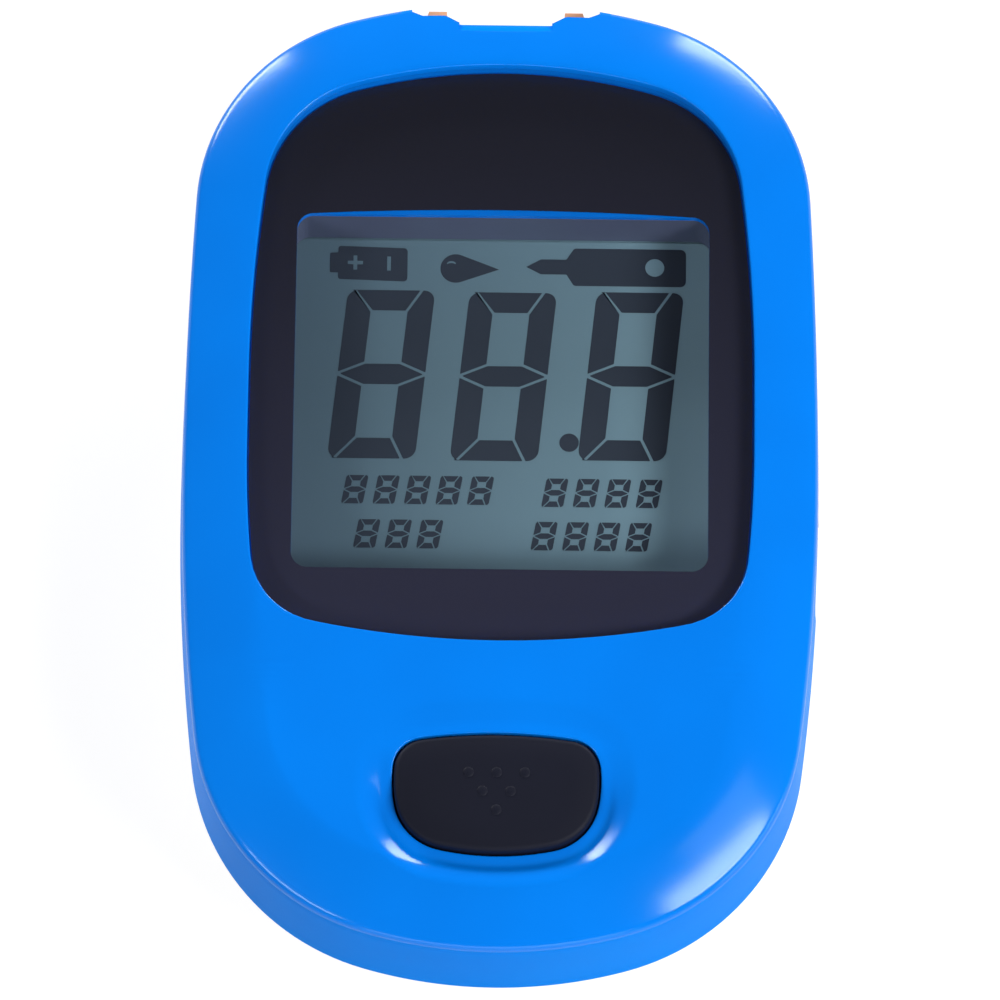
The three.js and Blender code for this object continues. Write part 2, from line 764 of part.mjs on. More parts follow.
function frontHousing() {
  const bodies = [
    outlinePrism(lensOutline, -lens.panRim, [panBottom, roofUnder + overrun]),
    windowPrism(rimRoom + pane.collarWall, [windowCollar, panBottom + overrun]),
    outlinePrism(buttonOutline, -runGap - button.collarWall, [collarBottom, roofUnder + overrun]),
    ...housingScrewPlaces.map((at) => post(housingScrew.frontBossRadius, [bossMeet + closeGap, roofUnder], at)),
    ...boardScrewPlaces.map((at) => post(boardScrew.bossRadius, [boardTop, roofUnder], at)),
  ];
  const inside = join(...bodies).intersect(
    loft(shellOutline, frontRings(shell.sideWall / 2, shell.roofWall / 2, bossMeet, 3)),
  );
  const wall = cut(frontOuter, frontInner);
  const pilotTop = housingScrew.seatHeight + housingScrew.shankLength + housingScrew.pilotSpare;
  const boardPilotTop = boardBottom + boardScrew.shankLength + boardScrew.pilotSpare;
  return cut(
    join(wall, inside),
    outlinePrism(lensOutline, -seatGap, [lensSeat, faceHeight + overrun]),
    windowPrism(0, [windowCollar - overrun, faceHeight]),
    windowPrism(rimRoom, [windowCollar - overrun, lipBottom]),
    buttonDish(),
    outlinePrism(buttonOutline, -runGap, [collarBottom - overrun, faceHeight]),
    ...housingScrewPlaces.map((at) => post(housingScrew.shankRadius + housingScrew.pilotGap, [bossMeet - overrun, pilotTop], at)),
    ...boardScrewPlaces.map((at) => post(boardScrew.shankRadius + boardScrew.pilotGap, [boardTop - overrun, boardPilotTop], at)),
    portNotch(),
    block(portWidth, [portBack - seatGap, bodyLength], [partingHeight - overrun, portTop + seatGap]),
    flankTrapezoid(seatGap, [headInner, bodyWidth]),
  );
}

piece("front_housing", frontHousing(), blueShell);

// Screen lens: a clear plate with a bevelled edge, a black printed border under it and an adhesive ring

piece(
  "screen_lens",
  loft(lensOutline, [
    { inset: 0, z: lensBottom },
    { inset: 0, z: lensTop - lens.bevel },
    { inset: lens.bevel, z: lensTop },
  ]),
  clearLens,
);

piece(
  "lens_mask",
  cut(
    outlinePrism(lensOutline, 0, [maskBottom, lensBottom]),
    windowPrism(0, [maskBottom - overrun, lensTop]),
    windowBow([maskBottom - overrun, lensTop]),
  ),
  blackInk,
);

piece(
  "lens_adhesive",
  cut(
    outlinePrism(lensOutline, lens.adhesiveInset, [lensSeat, maskBottom]),
    windowPrism(lens.adhesiveInset, [lensSeat - overrun, lensTop]),
  ),
  blackInk,
);

// Button: a soft cap in a dish, held in by its flange, over a push switch on the board

function buttonCap() {
  const capTop = faceHeight - button.shoulder;
  const body = loft(
    buttonOutline,
    [
      { inset: -button.flange, z: flangeBottom },
      { inset: -button.flange, z: flangeTop },
      { inset: 0, z: flangeTop },
      { inset: 0, z: capTop },
      { inset: button.edgeRound * (1 - Math.SQRT1_2), z: capTop + button.edgeRound * Math.SQRT1_2 },
      { inset: button.edgeRound, z: capTop + button.edgeRound },
      { inset: button.crownInset, z: capTop + button.edgeRound + button.crown },
    ],
    button.crown / 3,
  );
  const crownTop = capTop + button.edgeRound + button.crown;
  const dots = [3, 2, 1].flatMap((count, row) =>
    Array.from({ length: count }, (_, index) => {
      const x = (index - (count - 1) / 2) * button.dotPitchX;
      const dot = new THREE.SphereGeometry(button.dotRadius, 8, 6);
      dot.scale(1, 1, button.dotRise / button.dotRadius);
      dot.translate(x, buttonHigh - button.dotFromTop - row * button.dotPitchY, crownTop);
      return solid(dot);
    }),
  );
  const push = post(button.postRadius, [postBottom, flangeBottom + button.flangeThickness / 2], { x: 0, y: tactY });
  return join(body, push, ...dots);
}

piece("button_cap", buttonCap(), softBlack);

const tactAt = { x: 0, y: tactY };

piece(
  "switch_stem",
  post(tact.stemRadius, [stemBottom, postBottom], tactAt, facets.round),
  chipBlack,
);

function switchBody() {
  const half = tact.size / 2;
  const inner = half - tact.chamfer;
  const plan = [
    [half, inner],
    [inner, half],
    [-inner, half],
    [-half, inner],
    [-half, -inner],
    [-inner, -half],
    [inner, -half],
    [half, -inner],
  ].map(([x, y]) => [x, y + tactY]);
  return cut(
    upright(plan, [boardTop, tactTop]),
    post(tactWell, [tactFloor, tactTop + overrun], tactAt, facets.round),
  );
}

piece("switch_body", switchBody(), chipBlack);

function switchDome() {
  const under = tactFloor;
  const rim = under + tact.domeThickness;
  const crown = under + tact.domeRise;
  const radius = tactWell - tact.domeGap;
  return turned(
    [
      [0, crown - tact.domeThickness],
      [radius / 2, crown - tact.domeThickness - (tact.domeRise - tact.domeThickness) / 4],
      [radius, under],
      [radius, rim],
      [radius / 2, crown - (tact.domeRise - tact.domeThickness) / 4],
      [0, crown],
    ],
    tactAt,
    facets.smallRound,
  );
}

piece("switch_dome", switchDome(), steel);

// Display: two glasses with their films in a frame, pressed on the board through a zebra connector

const frontGlassBottom = glassTop - display.glassThickness;
const rearGlassBottom = frontGlassBottom - display.glassThickness;
const reflectorBottom = rearGlassBottom - display.reflector;
const glassWidth = [-glassHalfWidth, glassHalfWidth];
const rearGlassSpan = [glassLow + display.ledge, glassHigh];
const filmWidth = [-glassHalfWidth + display.filmInset, glassHalfWidth - display.filmInset];
const filmSpan = [rearGlassSpan[0] + display.filmInset, rearGlassSpan[1] - display.filmInset];
const cavityHalfWidth = glassHalfWidth - display.seat;

function displayFrame() {
  const pocket = glassHalfWidth + seatGap;
  const bezel = windowHalfWidth + display.bezelSideGap;
  const outer = join(
    block([-frameHalfWidth, frameHalfWidth], [frameLow, frameHigh], [boardTop, frameTop]),
    windowPrism(rimMargin, [frameTop - overrun, rimTop]),
  );
  const view = roundedRectangle([-bezel, bezel], [windowLow + display.bezelLowStep, windowHigh], pane.corner);
  const opening = solid(extruded(view, [reflectorBottom, rimTop + overrun]));
  const glassPocket = block(
    [-pocket, pocket],
    [glassLow - seatGap, glassHigh + seatGap],
    [reflectorBottom - closeGap, glassTop + display.film + closeGap],
  );
  const cavity = block(
    [-cavityHalfWidth, cavityHalfWidth],
    [glassLow, glassHigh - display.seat],
    [boardTop - overrun, reflectorBottom],
  );
  const rib = block(
    [-cavityHalfWidth - overrun, cavityHalfWidth + overrun],
    [rearGlassSpan[0], rearGlassSpan[0] + display.ribWidth],
    [boardTop + closeGap, reflectorBottom - closeGap],
  );
  return join(cut(outer, opening, glassPocket, cavity), rib);
}

piece("lcd_frame", displayFrame(), frameGrey);
piece("lcd_front_glass", block(glassWidth, [glassLow, glassHigh], [frontGlassBottom, glassTop]), displayGlass);
piece("lcd_rear_glass", block(glassWidth, rearGlassSpan, [rearGlassBottom, frontGlassBottom]), displayGlass);
piece("lcd_polariser", block(filmWidth, filmSpan, [glassTop, glassTop + display.film]), polariserFilm);
piece("lcd_reflector", block(filmWidth, filmSpan, [reflectorBottom, rearGlassBottom]), silverFilm);

const zebraReach = cavityHalfWidth - display.zebraInset;
const zebraLow = glassLow + (display.ledge - display.zebraWidth) / 2;
piece(
  "zebra_connector",
  block([-zebraReach, zebraReach], [zebraLow, zebraLow + display.zebraWidth], [boardTop, frontGlassBottom]),
  zebraRubber,
);

// Main board with its screws and parts

function mainBoard() {
  const through = [boardBottom - overrun, boardTop + overrun];
  return cut(
    outlinePrism(shellOutline, board.inset, [boardBottom, boardTop]),
    ...housingScrewPlaces.map((at) =>
      post(housingScrew.frontBossRadius + board.bossGap, through, at, facets.round),
    ),
    ...boardScrewPlaces.map((at) => post(boardScrew.shankRadius + boardScrew.holeGap, through, at)),
    block(
      [headInner - board.chipGap, bodyWidth],
      [codeChip.low - board.chipGap, chipHigh + board.chipGap],
      through,
    ),
  );
}

piece("main_board", mainBoard(), boardGreen);

// A flat-packed chip under the board, drawn in towards its face as moulded packages are
function surfaceChip(centre, { length, width, height, draft }) {
  const shape = (inset) => [
    [centre.x - length / 2 + inset, centre.y - width / 2 + inset],
    [centre.x + length / 2 - inset, centre.y + width / 2 - inset],
  ];
  const [low, high] = shape(0);
  const [lowIn, highIn] = shape(draft);
  const body = block([low[0], high[0]], [low[1], high[1]], [boardBottom - height + draft, boardBottom]);
  const face = block([lowIn[0], highIn[0]], [lowIn[1], highIn[1]], [boardBottom - height, boardBottom - height / 2]);
  return join(body, face);
}

// Places are shares of the half width and half length of the meter
const onBoard = ([xShare, yShare]) => new THREE.Vector2(xShare * halfWidth, yShare * halfLength);
const chips = [
  { name: "mcu_chip", placeShares: [-0.06, 0.46], size: processor },
  { name: "memory_chip", placeShares: [-0.65, 0.18], size: smallChip },
  { name: "amplifier_chip", placeShares: [0.04, 0.76], size: smallChip },
];
for (const { name, placeShares, size } of chips) {
  piece(name, surfaceChip(onBoard(placeShares), size), chipBlack);
}

function crystalCan() {
  const { x, y } = onBoard(crystal.placeShares);
  const geometry = new THREE.CylinderGeometry(crystal.radius, crystal.radius, crystal.length, facets.smallRound);
  geometry.translate(x, y, boardBottom - crystal.radius + crystal.flat);
  const under = [boardBottom - 2 * crystal.radius, boardBottom];
  const half = crystal.length / 2 + overrun;
  const reach = crystal.radius + overrun;
  return solid(geometry).intersect(
    block([x - reach, x + reach], [y - half, y + half], under),
  );
}

piece("crystal_can", crystalCan(), steel);

// A self-tapping screw that points up, its head's seat at the given height
function screw({ headRadius, headHeight, headChamfer, shankRadius, shankLength, tip }, seat, at) {
  return turned(
    [
      [0, seat - headHeight],
      [headRadius - headChamfer, seat - headHeight],
      [headRadius, seat - headHeight + headChamfer],
      [headRadius, seat],
      [shankRadius, seat],
      [shankRadius, seat + shankLength - tip],
      [0, seat + shankLength],
    ],
    at,
    facets.smallRound,
  );
}

boardScrewPlaces.forEach((at, index) => {
  piece(`board_screw_${index + 1}`, screw(boardScrew, boardBottom, at), steel);
});
housingScrewPlaces.forEach((at, index) => {
  piece(`housing_screw_${index + 1}`, screw(housingScrew, housingScrew.seatHeight, at), steel);
});

// Strip port: an orange guide with two prongs beside its mouth, and a contact block behind it

function stripPortGuide() {
  const outline = [];
  for (const side of [1, -1]) {
    const half = [
      [side * port.mouthHalfWidth, portFront - port.lipStep],
      [side * (port.mouthHalfWidth + port.prongChamfer / 2), portFront - port.prongChamfer / 2],
      [side * (port.halfWidth - port.prongInset), portFront],
      [side * port.halfWidth, portFront - port.prongRound],
      [side * port.halfWidth, portBack],
    ];
    outline.push(...(side > 0 ? half : half.reverse()));
  }
  const beyond = portFront + overrun;
  const sillTop = partingHeight + port.sillRise;
  const sill = block([-port.halfWidth, port.halfWidth], [portMouth, beyond], [partingHeight, sillTop]);
  const body = join(upright(outline.reverse(), [boardTop, portTop]), sill.intersect(frontOuter));
  const slotWidth = [-port.slotHalfWidth, port.slotHalfWidth];
  const funnelBack = portMouth - port.funnelLength;
  return cut(
    body,
    block([-port.mouthHalfWidth, port.mouthHalfWidth], [portMouth, beyond], [slotFloor, portTop + overrun]),
    block(slotWidth, [portBack - overrun, beyond], slotSpan),
    alongX(
      [
        [funnelBack, slotSpan[0]],
        [beyond, slotSpan[0]],
        [beyond, slotSpan[1] + port.funnelRise],
        [portMouth, slotSpan[1] + port.funnelRise],
        [funnelBack, slotSpan[1]],
      ],
      slotWidth,
    ),
  );
}

piece("strip_port_guide", stripPortGuide(), orangePlastic);

const contactX = (index) => (index - (stripContact.count - 1) / 2) * stripContact.pitch;
const contactIndexes = Array.from({ length: stripContact.count }, (_, index) => index);

function stripContactBlock() {
  const { blockHalfWidth, blockHeight, width, grooveGap, thickness } = stripContact;
  const blockTop = boardTop + blockHeight;
  const half = width / 2 + grooveGap;
  const span = [blockBack - overrun, portBack + overrun];
  return cut(
    block([-blockHalfWidth, blockHalfWidth], [blockBack, portBack], [boardTop, blockTop]),
    block(
      [-port.slotHalfWidth, port.slotHalfWidth],
      [blockBack + overrun, portBack + overrun],
      slotSpan,
    ),
    ...contactIndexes.map((index) => {
      const x = contactX(index);
      return block([x - half, x + half], span, [slotSpan[1] - thickness, blockTop + overrun]);
    }),
  );
}

piece("strip_contact_block", stripContactBlock(), chipBlack);

function stripContactLine() {
  const { armRise, footLength, riserOffset, dipShare, tipLift, thickness } = stripContact;
  const armHeight = slotSpan[1] + armRise;
  const foot = boardTop + thickness / 2 + closeGap / 2;
  const riser = blockBack - riserOffset;
  const reach = portBack - blockBack;
  const dip = slotSpan[1] + thickness;
  return [
    [riser - footLength, foot],
    [riser, foot],
    [riser, armHeight],
    [blockBack + riserOffset, armHeight],
    [blockBack + reach * dipShare, dip],
    [portBack - riserOffset, dip + tipLift],
  ];
}

for (const index of contactIndexes) {
  const x = contactX(index);
  const outline = stripOutline(stripContactLine(), stripContact.thickness);
  const span = [x - stripContact.width / 2, x + stripContact.width / 2];
  piece(`strip_contact_${index + 1}`, alongX(outline, span), goldPlate);
}

// Code chip: a handle that sits flush in the flank and a small board that plugs into a socket

function codeChipHandle() {
  const head = block(
    [headInner, bodyWidth],
    [codeChip.low, chipHigh],
    [headBottom, headTop],
  );
  const nail = alongY(
    [
      [nailHeight - codeChip.nailWidth / 2, bodyWidth],
      [nailHeight, halfWidth - shell.sideDraft - codeChip.nailDepth],
      [nailHeight + codeChip.nailWidth / 2, bodyWidth],
    ],
    bladeSpan,
  );
  const blade = block(
    [headInner - overrun, bladeEnd + seatGap],
    [bladeSpan[0] - seatGap, bladeSpan[1] + seatGap],
    [bladeBottom - seatGap, bladeTop + seatGap],
  );
  const outside = join(
    frontOuter,
    loft(shellOutline, rearRings(0, partingHeight + overrun / 2, 2)),
  );
  return cut(head.intersect(outside), nail, blade);
}

piece("code_chip_handle", codeChipHandle(), paleShell);
piece(
  "code_chip_board",
  block([bladeTip, bladeEnd], bladeSpan, [bladeBottom, bladeTop]),
  boardGreen,
);

const socketSpan = [bladeSpan[0] - codeSocket.margin, bladeSpan[1] + codeSocket.margin];
const socketRoof = bladeTop + runGap;

function codeSocketBody() {
  return cut(
    block([socketInner, socketOuter], socketSpan, [bladeBottom - runGap - codeSocket.floor, boardBottom]),
    block(
      [socketInner + codeSocket.back, socketOuter + overrun],
      [bladeSpan[0] - runGap, bladeSpan[1] + runGap],
      [bladeBottom - runGap, socketRoof],
    ),
  );
}

piece("code_socket", codeSocketBody(), chipBlack);

for (let index = 0; index < codeSocket.contactCount; index += 1) {
  const middle = (bladeSpan[0] + bladeSpan[1]) / 2;
  const y = middle + (index - (codeSocket.contactCount - 1) / 2) * codeSocket.contactPitch;
  const { contactThickness, contactWidth, footLength, back } = codeSocket;
  const foot = boardBottom - contactThickness;
  const arm = bladeTop + contactThickness;
  const line = [
    [foot, socketOuter + footLength],
    [foot, socketOuter + contactThickness * 2],
    [arm, socketOuter + contactThickness * 2],
    [arm, socketInner + back + footLength],
  ];
  piece(
    `code_contact_${index + 1}`,
    alongY(stripOutline(line, contactThickness), [y - contactWidth / 2, y + contactWidth / 2]),
    goldPlate,
  );
}

// Coin cells with their contacts, in a bay that the cover closes

const cellCentres = bothSides.map((side) => ({ x: 0, y: cellMiddle + (side * cellPitch) / 2 }));

cellCentres.forEach((at, index) => {
  piece(
    `coin_cell_${index + 1}`,
    turned(
      [
        [0, cellBottom],
        [cell.radius - cell.rimStep, cellBottom],
        [cell.radius, cellBottom + cell.rimStep],
        [cell.radius, cellTop - 2 * cell.rimStep],
        [cell.radius - cell.rimStep, cellTop - cell.rimStep],
        [cell.radius - cell.capInset, cellTop - cell.rimStep],
        [cell.radius - cell.capInset, cellTop],
        [0, cellTop],
      ],
      at,
      facets.cell,
    ),
    steel,
  );
});

// A bowed spring on the ceiling of the bay, with a leg through it to the board
function negativeLeaf({ y }) {
  const high = bayCeiling - leaf.thickness / 2 - leaf.gap;
  const low = cellTop + leaf.thickness / 2 + leaf.gap;
  const line = [
    [y - leaf.halfLength, boardBottom],
    [y - leaf.halfLength, high],
    [y - leaf.contactOffset, high],
    [y + leaf.contactOffset, low],
    [y + leaf.halfLength, high],
  ];
  return alongX(stripOutline(line, leaf.thickness), [-leaf.width / 2, leaf.width / 2]);
}

// An upright clip beside the edge of a cell
function positiveClip({ y }) {
  const x = cell.radius + closeGap + clip.thickness / 2;
  return block(
    [-x - clip.thickness / 2, -x + clip.thickness / 2],
    [y - clip.width / 2, y + clip.width / 2],
    [cellBottom + clip.footRise, boardBottom],
  );
}

cellCentres.forEach((at, index) => {
  piece(`battery_negative_${index + 1}`, negativeLeaf(at), steel);
  piece(`battery_positive_${index + 1}`, positiveClip(at), steel);
});

// Rear shell: the pale lower half, with the cell bay, the screw wells and the tongue round the code chip

const coverEdge = coverHalfWidth + runGap / 2;

function coverZone(shrink) {
  return join(
    block(
      [-coverHalfWidth + shrink, coverHalfWidth - shrink],
      [-bodyLength, coverTop - shrink],
      [-overrun, cover.wall - shrink],
    ),
    block(
      [-coverHalfWidth + shrink, coverHalfWidth - shrink],
      [-bodyLength, bayLow - shrink],
      [-overrun, cover.endRise - shrink],
    ),
  );
}

const tabInner = coverHalfWidth - cover.tabReach;
const across = (side, near, far) => [Math.min(side * near, side * far), Math.max(side * near, side * far)];

function coverTabs() {
  return tabPlaces.flatMap((y) =>
    bothSides.map((side) => {
      const along = [y - cover.tabLength / 2, y + cover.tabLength / 2];
      return join(
        block(across(side, tabInner, tabInner + cover.tabStem), along, [cover.wall / 2, hookTop]),
        block(across(side, tabInner, coverHalfWidth), along, [hookBase, hookTop]),
      );
    }),
  );
}

// Channels that let the tabs hook over the rails and slide to the gaps where they lift out
function tabChannels() {
  const roof = hookTop + runGap;
  const half = cover.tabLength / 2 + runGap;
  const inner = tabInner - runGap;
  const stem = tabInner + cover.tabStem + runGap;
  const outer = coverHalfWidth + runGap;
  return tabPlaces.flatMap((y) =>
    bothSides.map((side) => {
      const whole = [y - half - cover.travel, y + half];
      const gap = [y - half - cover.travel, y + half - cover.travel];
      return join(
        block(across(side, inner, stem), whole, [railBottom - overrun, roof]),
        block(across(side, inner, outer), whole, [railTop, roof]),
        block(across(side, inner, outer), gap, [railBottom - overrun, roof]),
      );
    }),
  );
}

function cellBay() {
  const inside = loft(shellOutline, rearRings(shell.backWall / 2, bayTop, 2));
  const solidBay = block([-bayHalfWidth, bayHalfWidth], [bayLow, bayHigh], [shell.backWall / 2, bayTop]);
  const wells = cellCentres.map((at) => post(cell.radius + bay.wellGap, [-overrun, bayCeiling], at, facets.cell));
  const leafSlots = cellCentres.map(({ y }) =>
    block(
      [-leaf.width / 2 - leaf.slotGap, leaf.width / 2 + leaf.slotGap],
      [y - leaf.halfLength - leaf.slotGap, y - leaf.halfLength + leaf.slotGap],
      [cellTop, bayTop + overrun],
    ),
  );
  const clipX = cell.radius + closeGap;
  const clipPockets = cellCentres.map(({ y }) =>
    block(
      [-clipX - clip.thickness - clip.pocketGap, -clipX + clip.pocketGap],
      [y - clip.width / 2 - clip.pocketGap, y + clip.width / 2 + clip.pocketGap],
      [cellBottom + clip.footRise - clip.pocketGap, bayTop + overrun],
    ),
  );
  return cut(
    solidBay.intersect(inside),
    ...wells,
    block([-bay.linkHalfWidth, bay.linkHalfWidth], [cellCentres[0].y, cellCentres[1].y], [-overrun, bayCeiling]),
    block([-coverEdge, coverEdge], [-bodyLength, coverTop + runGap / 2], [-overrun, railBottom]),
    ...tabChannels(),
    ...leafSlots,
    ...clipPockets,
  );
}

function rearHousing() {
  const lipInset = shell.sideWall + shell.rearSetback / 2;
  const lipTop = partingHeight + shell.lipRise;
  const lipBottom = partingHeight - shell.lipDepth;
  const wallInner = loft(shellOutline, rearRings(shell.backWall, partingHeight + overrun, 3));
  const wall = cut(rearOuter, wallInner);
  const lip = cut(
    outlinePrism(shellOutline, lipInset, [lipBottom, lipTop]),
    outlinePrism(shellOutline, lipInset + shell.lipWall, [lipBottom - overrun, lipTop + overrun]),
  );
  const tongueWall = flankTrapezoid(0, [headInner, bodyWidth]).intersect(
    cut(frontOuter, outlinePrism(shellOutline, tongue.wall, [partingHeight - overrun, creaseHeight])),
  );
  const tongueFoot = flankTrapezoid(0, [headInner, bodyWidth]).intersect(
    cut(
      outlinePrism(shellOutline, shell.rearSetback, [lipBottom, partingHeight + closeGap]),
      outlinePrism(shellOutline, tongue.wall, [lipBottom - overrun, creaseHeight]),
    ),
  );
  const bosses = housingScrewPlaces.map((at) =>
    post(housingScrew.rearBossRadius, [shell.backWall / 2, bossMeet - closeGap], at, facets.round),
  );
  const ribs = [bladeSpan[0], bladeSpan[1] - rib.thickness].map((y) =>
    block([socketOuter + rib.socketGap, headInner + rib.reachOut], [y, y + rib.thickness], [shell.backWall / 2, bladeBottom - rib.gap]),
  );
  const within = loft(shellOutline, rearRings(shell.backWall / 2, partingHeight, 2));
  const lipFree = [partingHeight - closeGap, lipTop + overrun];
  const boardEdge = outlinePrism(shellOutline, board.inset - closeGap, [boardBottom - closeGap, lipTop + overrun]);
  return cut(
    join(
      cut(wall, coverZone(-runGap / 2)),
      cut(lip, boardEdge),
      tongueWall,
      tongueFoot,
      join(...bosses, ...ribs).intersect(within),
      cellBay(),
    ),
    ...housingScrewPlaces.map((at) => post(screwWell, [-overrun, housingScrew.seatHeight], at, facets.round)),
    ...housingScrewPlaces.map((at) => post(housingScrew.shankRadius + housingScrew.holeGap, [-overrun, bossMeet + overrun], at)),
    block([portWidth[0] - runGap, portWidth[1] + runGap], [portBack, bodyLength], lipFree),
    block(
      [headInner - runGap, bodyWidth],
      [codeChip.low - runGap, chipHigh + runGap],
      [headBottom - runGap, headTop + runGap],
    ),
  );
}

piece("rear_housing", rearHousing(), paleShell);

// Battery cover: a slice of the back that wraps round its end, with grip grooves and four hooked tabs

function batteryCover() {
  const skin = cut(
    loft(shellOutline, rearRings(0, 0, 4)),
    loft(shellOutline, rearRings(cover.wall, partingHeight, 4)),
  );
  const grooves = Array.from({ length: cover.gripCount }, (_, index) => {
    const y = cover.gripFromEnd - halfLength + index * cover.gripPitch;
    return block(
      [-cover.gripHalfLength, cover.gripHalfLength],
      [y, y + cover.gripWidth],
      [-overrun, cover.gripDepth],
    );
  });
  return cut(join(skin.intersect(coverZone(runGap / 2)), ...coverTabs()), ...grooves);
}

piece("battery_cover", batteryCover(), paleShell);

export default pieces;
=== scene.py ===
from math import atan2, cos, pi, radians, sin, sqrt

import bmesh
import bpy
from mathutils import Matrix, Vector


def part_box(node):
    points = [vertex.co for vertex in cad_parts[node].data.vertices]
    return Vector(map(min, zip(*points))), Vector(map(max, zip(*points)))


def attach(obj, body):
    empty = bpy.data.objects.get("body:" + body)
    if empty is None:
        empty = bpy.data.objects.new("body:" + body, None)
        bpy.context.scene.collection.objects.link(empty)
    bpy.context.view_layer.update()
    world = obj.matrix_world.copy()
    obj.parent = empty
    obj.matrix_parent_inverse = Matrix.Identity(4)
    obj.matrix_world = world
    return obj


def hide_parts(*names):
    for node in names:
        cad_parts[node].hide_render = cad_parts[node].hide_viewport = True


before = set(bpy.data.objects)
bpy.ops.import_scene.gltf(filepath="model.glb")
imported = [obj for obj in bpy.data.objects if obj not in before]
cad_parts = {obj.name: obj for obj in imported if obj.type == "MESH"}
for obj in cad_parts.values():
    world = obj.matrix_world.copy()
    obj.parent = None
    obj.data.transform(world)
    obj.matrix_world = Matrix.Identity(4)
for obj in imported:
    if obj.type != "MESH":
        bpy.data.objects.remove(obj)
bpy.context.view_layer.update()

mm = 0.001
same_place = 0.0001 * mm  # points closer together than this are one

# Front shell
# The blue upper half, moulded in one piece of glossy plastic. Its flat face rolls down to a crisp crease
# and a drafted flank. The lens, the soft button, the strip port and the code chip have openings in it.

shell_low, shell_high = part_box("front_housing")
half_width = -shell_low.x
half_length = -shell_low.y
face_level = shell_high.z
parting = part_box("strip_port_guide")[0].z
lens_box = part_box("screen_lens")
cap_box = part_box("button_cap")
seat_gap = 0.12 * mm


class Outline:
    """A plan outline: each quarter is a side arc, a corner arc and an end arc that run into each other"""

    def __init__(self, half_width, top, bottom):
        self.half_width = half_width
        self.quarters = {1: self.quarter(*top), -1: self.quarter(*bottom)}
        self.widest = {1: top[0], -1: bottom[0]}

    def quarter(self, widest, reach, bow, corner, end):
        """The three arcs of a quarter: the centre, the radius and the turns where it starts and stops"""
        side = (reach - widest - corner) ** 2 / (2 * bow)
        side_centre = Vector((self.half_width - side, widest))
        end_centre = Vector((0, reach - end))
        span = end_centre - side_centre
        along = ((side - corner) ** 2 - (end - corner) ** 2 + span.length_squared) / (2 * span.length)
        across = sqrt((side - corner) ** 2 - along**2)
        unit = span.normalized()
        middle = side_centre + unit * along + Vector((-unit.y, unit.x)) * across
        turn = atan2(*(middle - side_centre).yx)
        finish = atan2(*(middle - end_centre).yx)
        return [
            (side_centre, side, 0, turn),
            (middle, corner, turn, finish),
            (end_centre, end, finish, pi / 2),
        ]

    def stations(self, counts, split=None):
        """Places anticlockwise round the outline, each as the centre and radius of its arc and the way out.
        A split, given as a half of the outline, a reach and an inset, adds the places where they cross."""
        sides = {}
        for up, arcs in self.quarters.items():
            turns = []
            for (centre, radius, start, stop), count in zip(arcs, counts):
                turns += [(centre, radius, start + (stop - start) * step / count) for step in range(count)]
            turns.append((arcs[2][0], arcs[2][1], pi / 2))
            if split and up == split[0]:
                centre, radius = arcs[0][:2]
                turns.append((centre, radius, sin_turn(split[1] - self.widest[up], radius - split[2])))
                turns.sort(key=lambda turn: turn[2])
            sides[up] = [(Vector((c.x, up * c.y)), r, Vector((cos(a), up * sin(a)))) for c, r, a in turns]
        left = {}
        for up, row in sides.items():
            left[up] = [(Vector((-c.x, c.y)), r, Vector((-way.x, way.y))) for c, r, way in row]
        loop = sides[1] + left[1][-2::-1] + left[-1] + sides[-1][-2::-1]
        return [s for i, s in enumerate(loop) if (plan(s, 0) - plan(loop[i - 1], 0)).length > same_place]

    def depth(self, point):
        """How far inside the outline a plan point lies, negative outside"""
        x, y = abs(point.x), point.y
        if -self.widest[-1] < y < self.widest[1]:
            return self.half_width - x
        up = 1 if y >= self.widest[1] else -1
        folded = Vector((x, up * y))
        side, corner, end = self.quarters[up]
        turn = atan2(*(folded - corner[0]).yx)
        arc = side if turn < corner[2] else end if turn > corner[3] else corner
        return arc[1] - (folded - arc[0]).length


def sin_turn(rise, radius):
    """The angle at which a point on a circle of that radius lies that high"""
    return atan2(rise, sqrt(radius**2 - rise**2))


def plan(station, inset):
    """The plan point that lies that deep inside the outline at a station"""
    centre, radius, way = station
    return centre + way * (radius - inset)


def reach(outline, inset, origin, towards):
    """The point on the ray from origin that lies at that depth in the outline"""
    way = (towards - origin).normalized()
    near, far = 0, 2 * half_length
    for _ in range(40):
        middle = (near + far) / 2
        if outline.depth(origin + way * middle) > inset:
            near = middle
        else:
            far = middle
    return origin + way * near


# Each half as its widest level, its reach, the bow of its side, and the radii of its corner and its end
shell_outline = Outline(
    half_width,
    top=(0, half_length, 0.58 * mm, 16.9 * mm, 44.7 * mm),
    bottom=(0, half_length, 1.18 * mm, 18.9 * mm, 36.5 * mm),
)
lens_outline = Outline(
    lens_box[1].x,
    top=(7.0 * mm, lens_box[1].y, 1.0 * mm, 9.7 * mm, 42.3 * mm),
    bottom=(-1.4 * mm, -lens_box[0].y, 0.52 * mm, 6.0 * mm, 71.8 * mm),
)
cap_flange = 0.8 * mm
cap_widest = -26.2 * mm
cap_trim = 0.22 * mm  # off the cap's lower end, as its outline in the photograph asks
cap_outline = Outline(
    cap_box[1].x - cap_flange,
    top=(cap_widest, cap_box[1].y - cap_flange, 0.014 * mm, 2.45 * mm, 39.0 * mm),
    bottom=(-cap_widest, -cap_box[0].y - cap_flange - cap_trim, 0.108 * mm, 4.28 * mm, 20.8 * mm),
)
window_low = Vector((-16.1 * mm, -8.6 * mm))
window_high = Vector((16.1 * mm, 20.8 * mm))
window_corner = 1.3 * mm

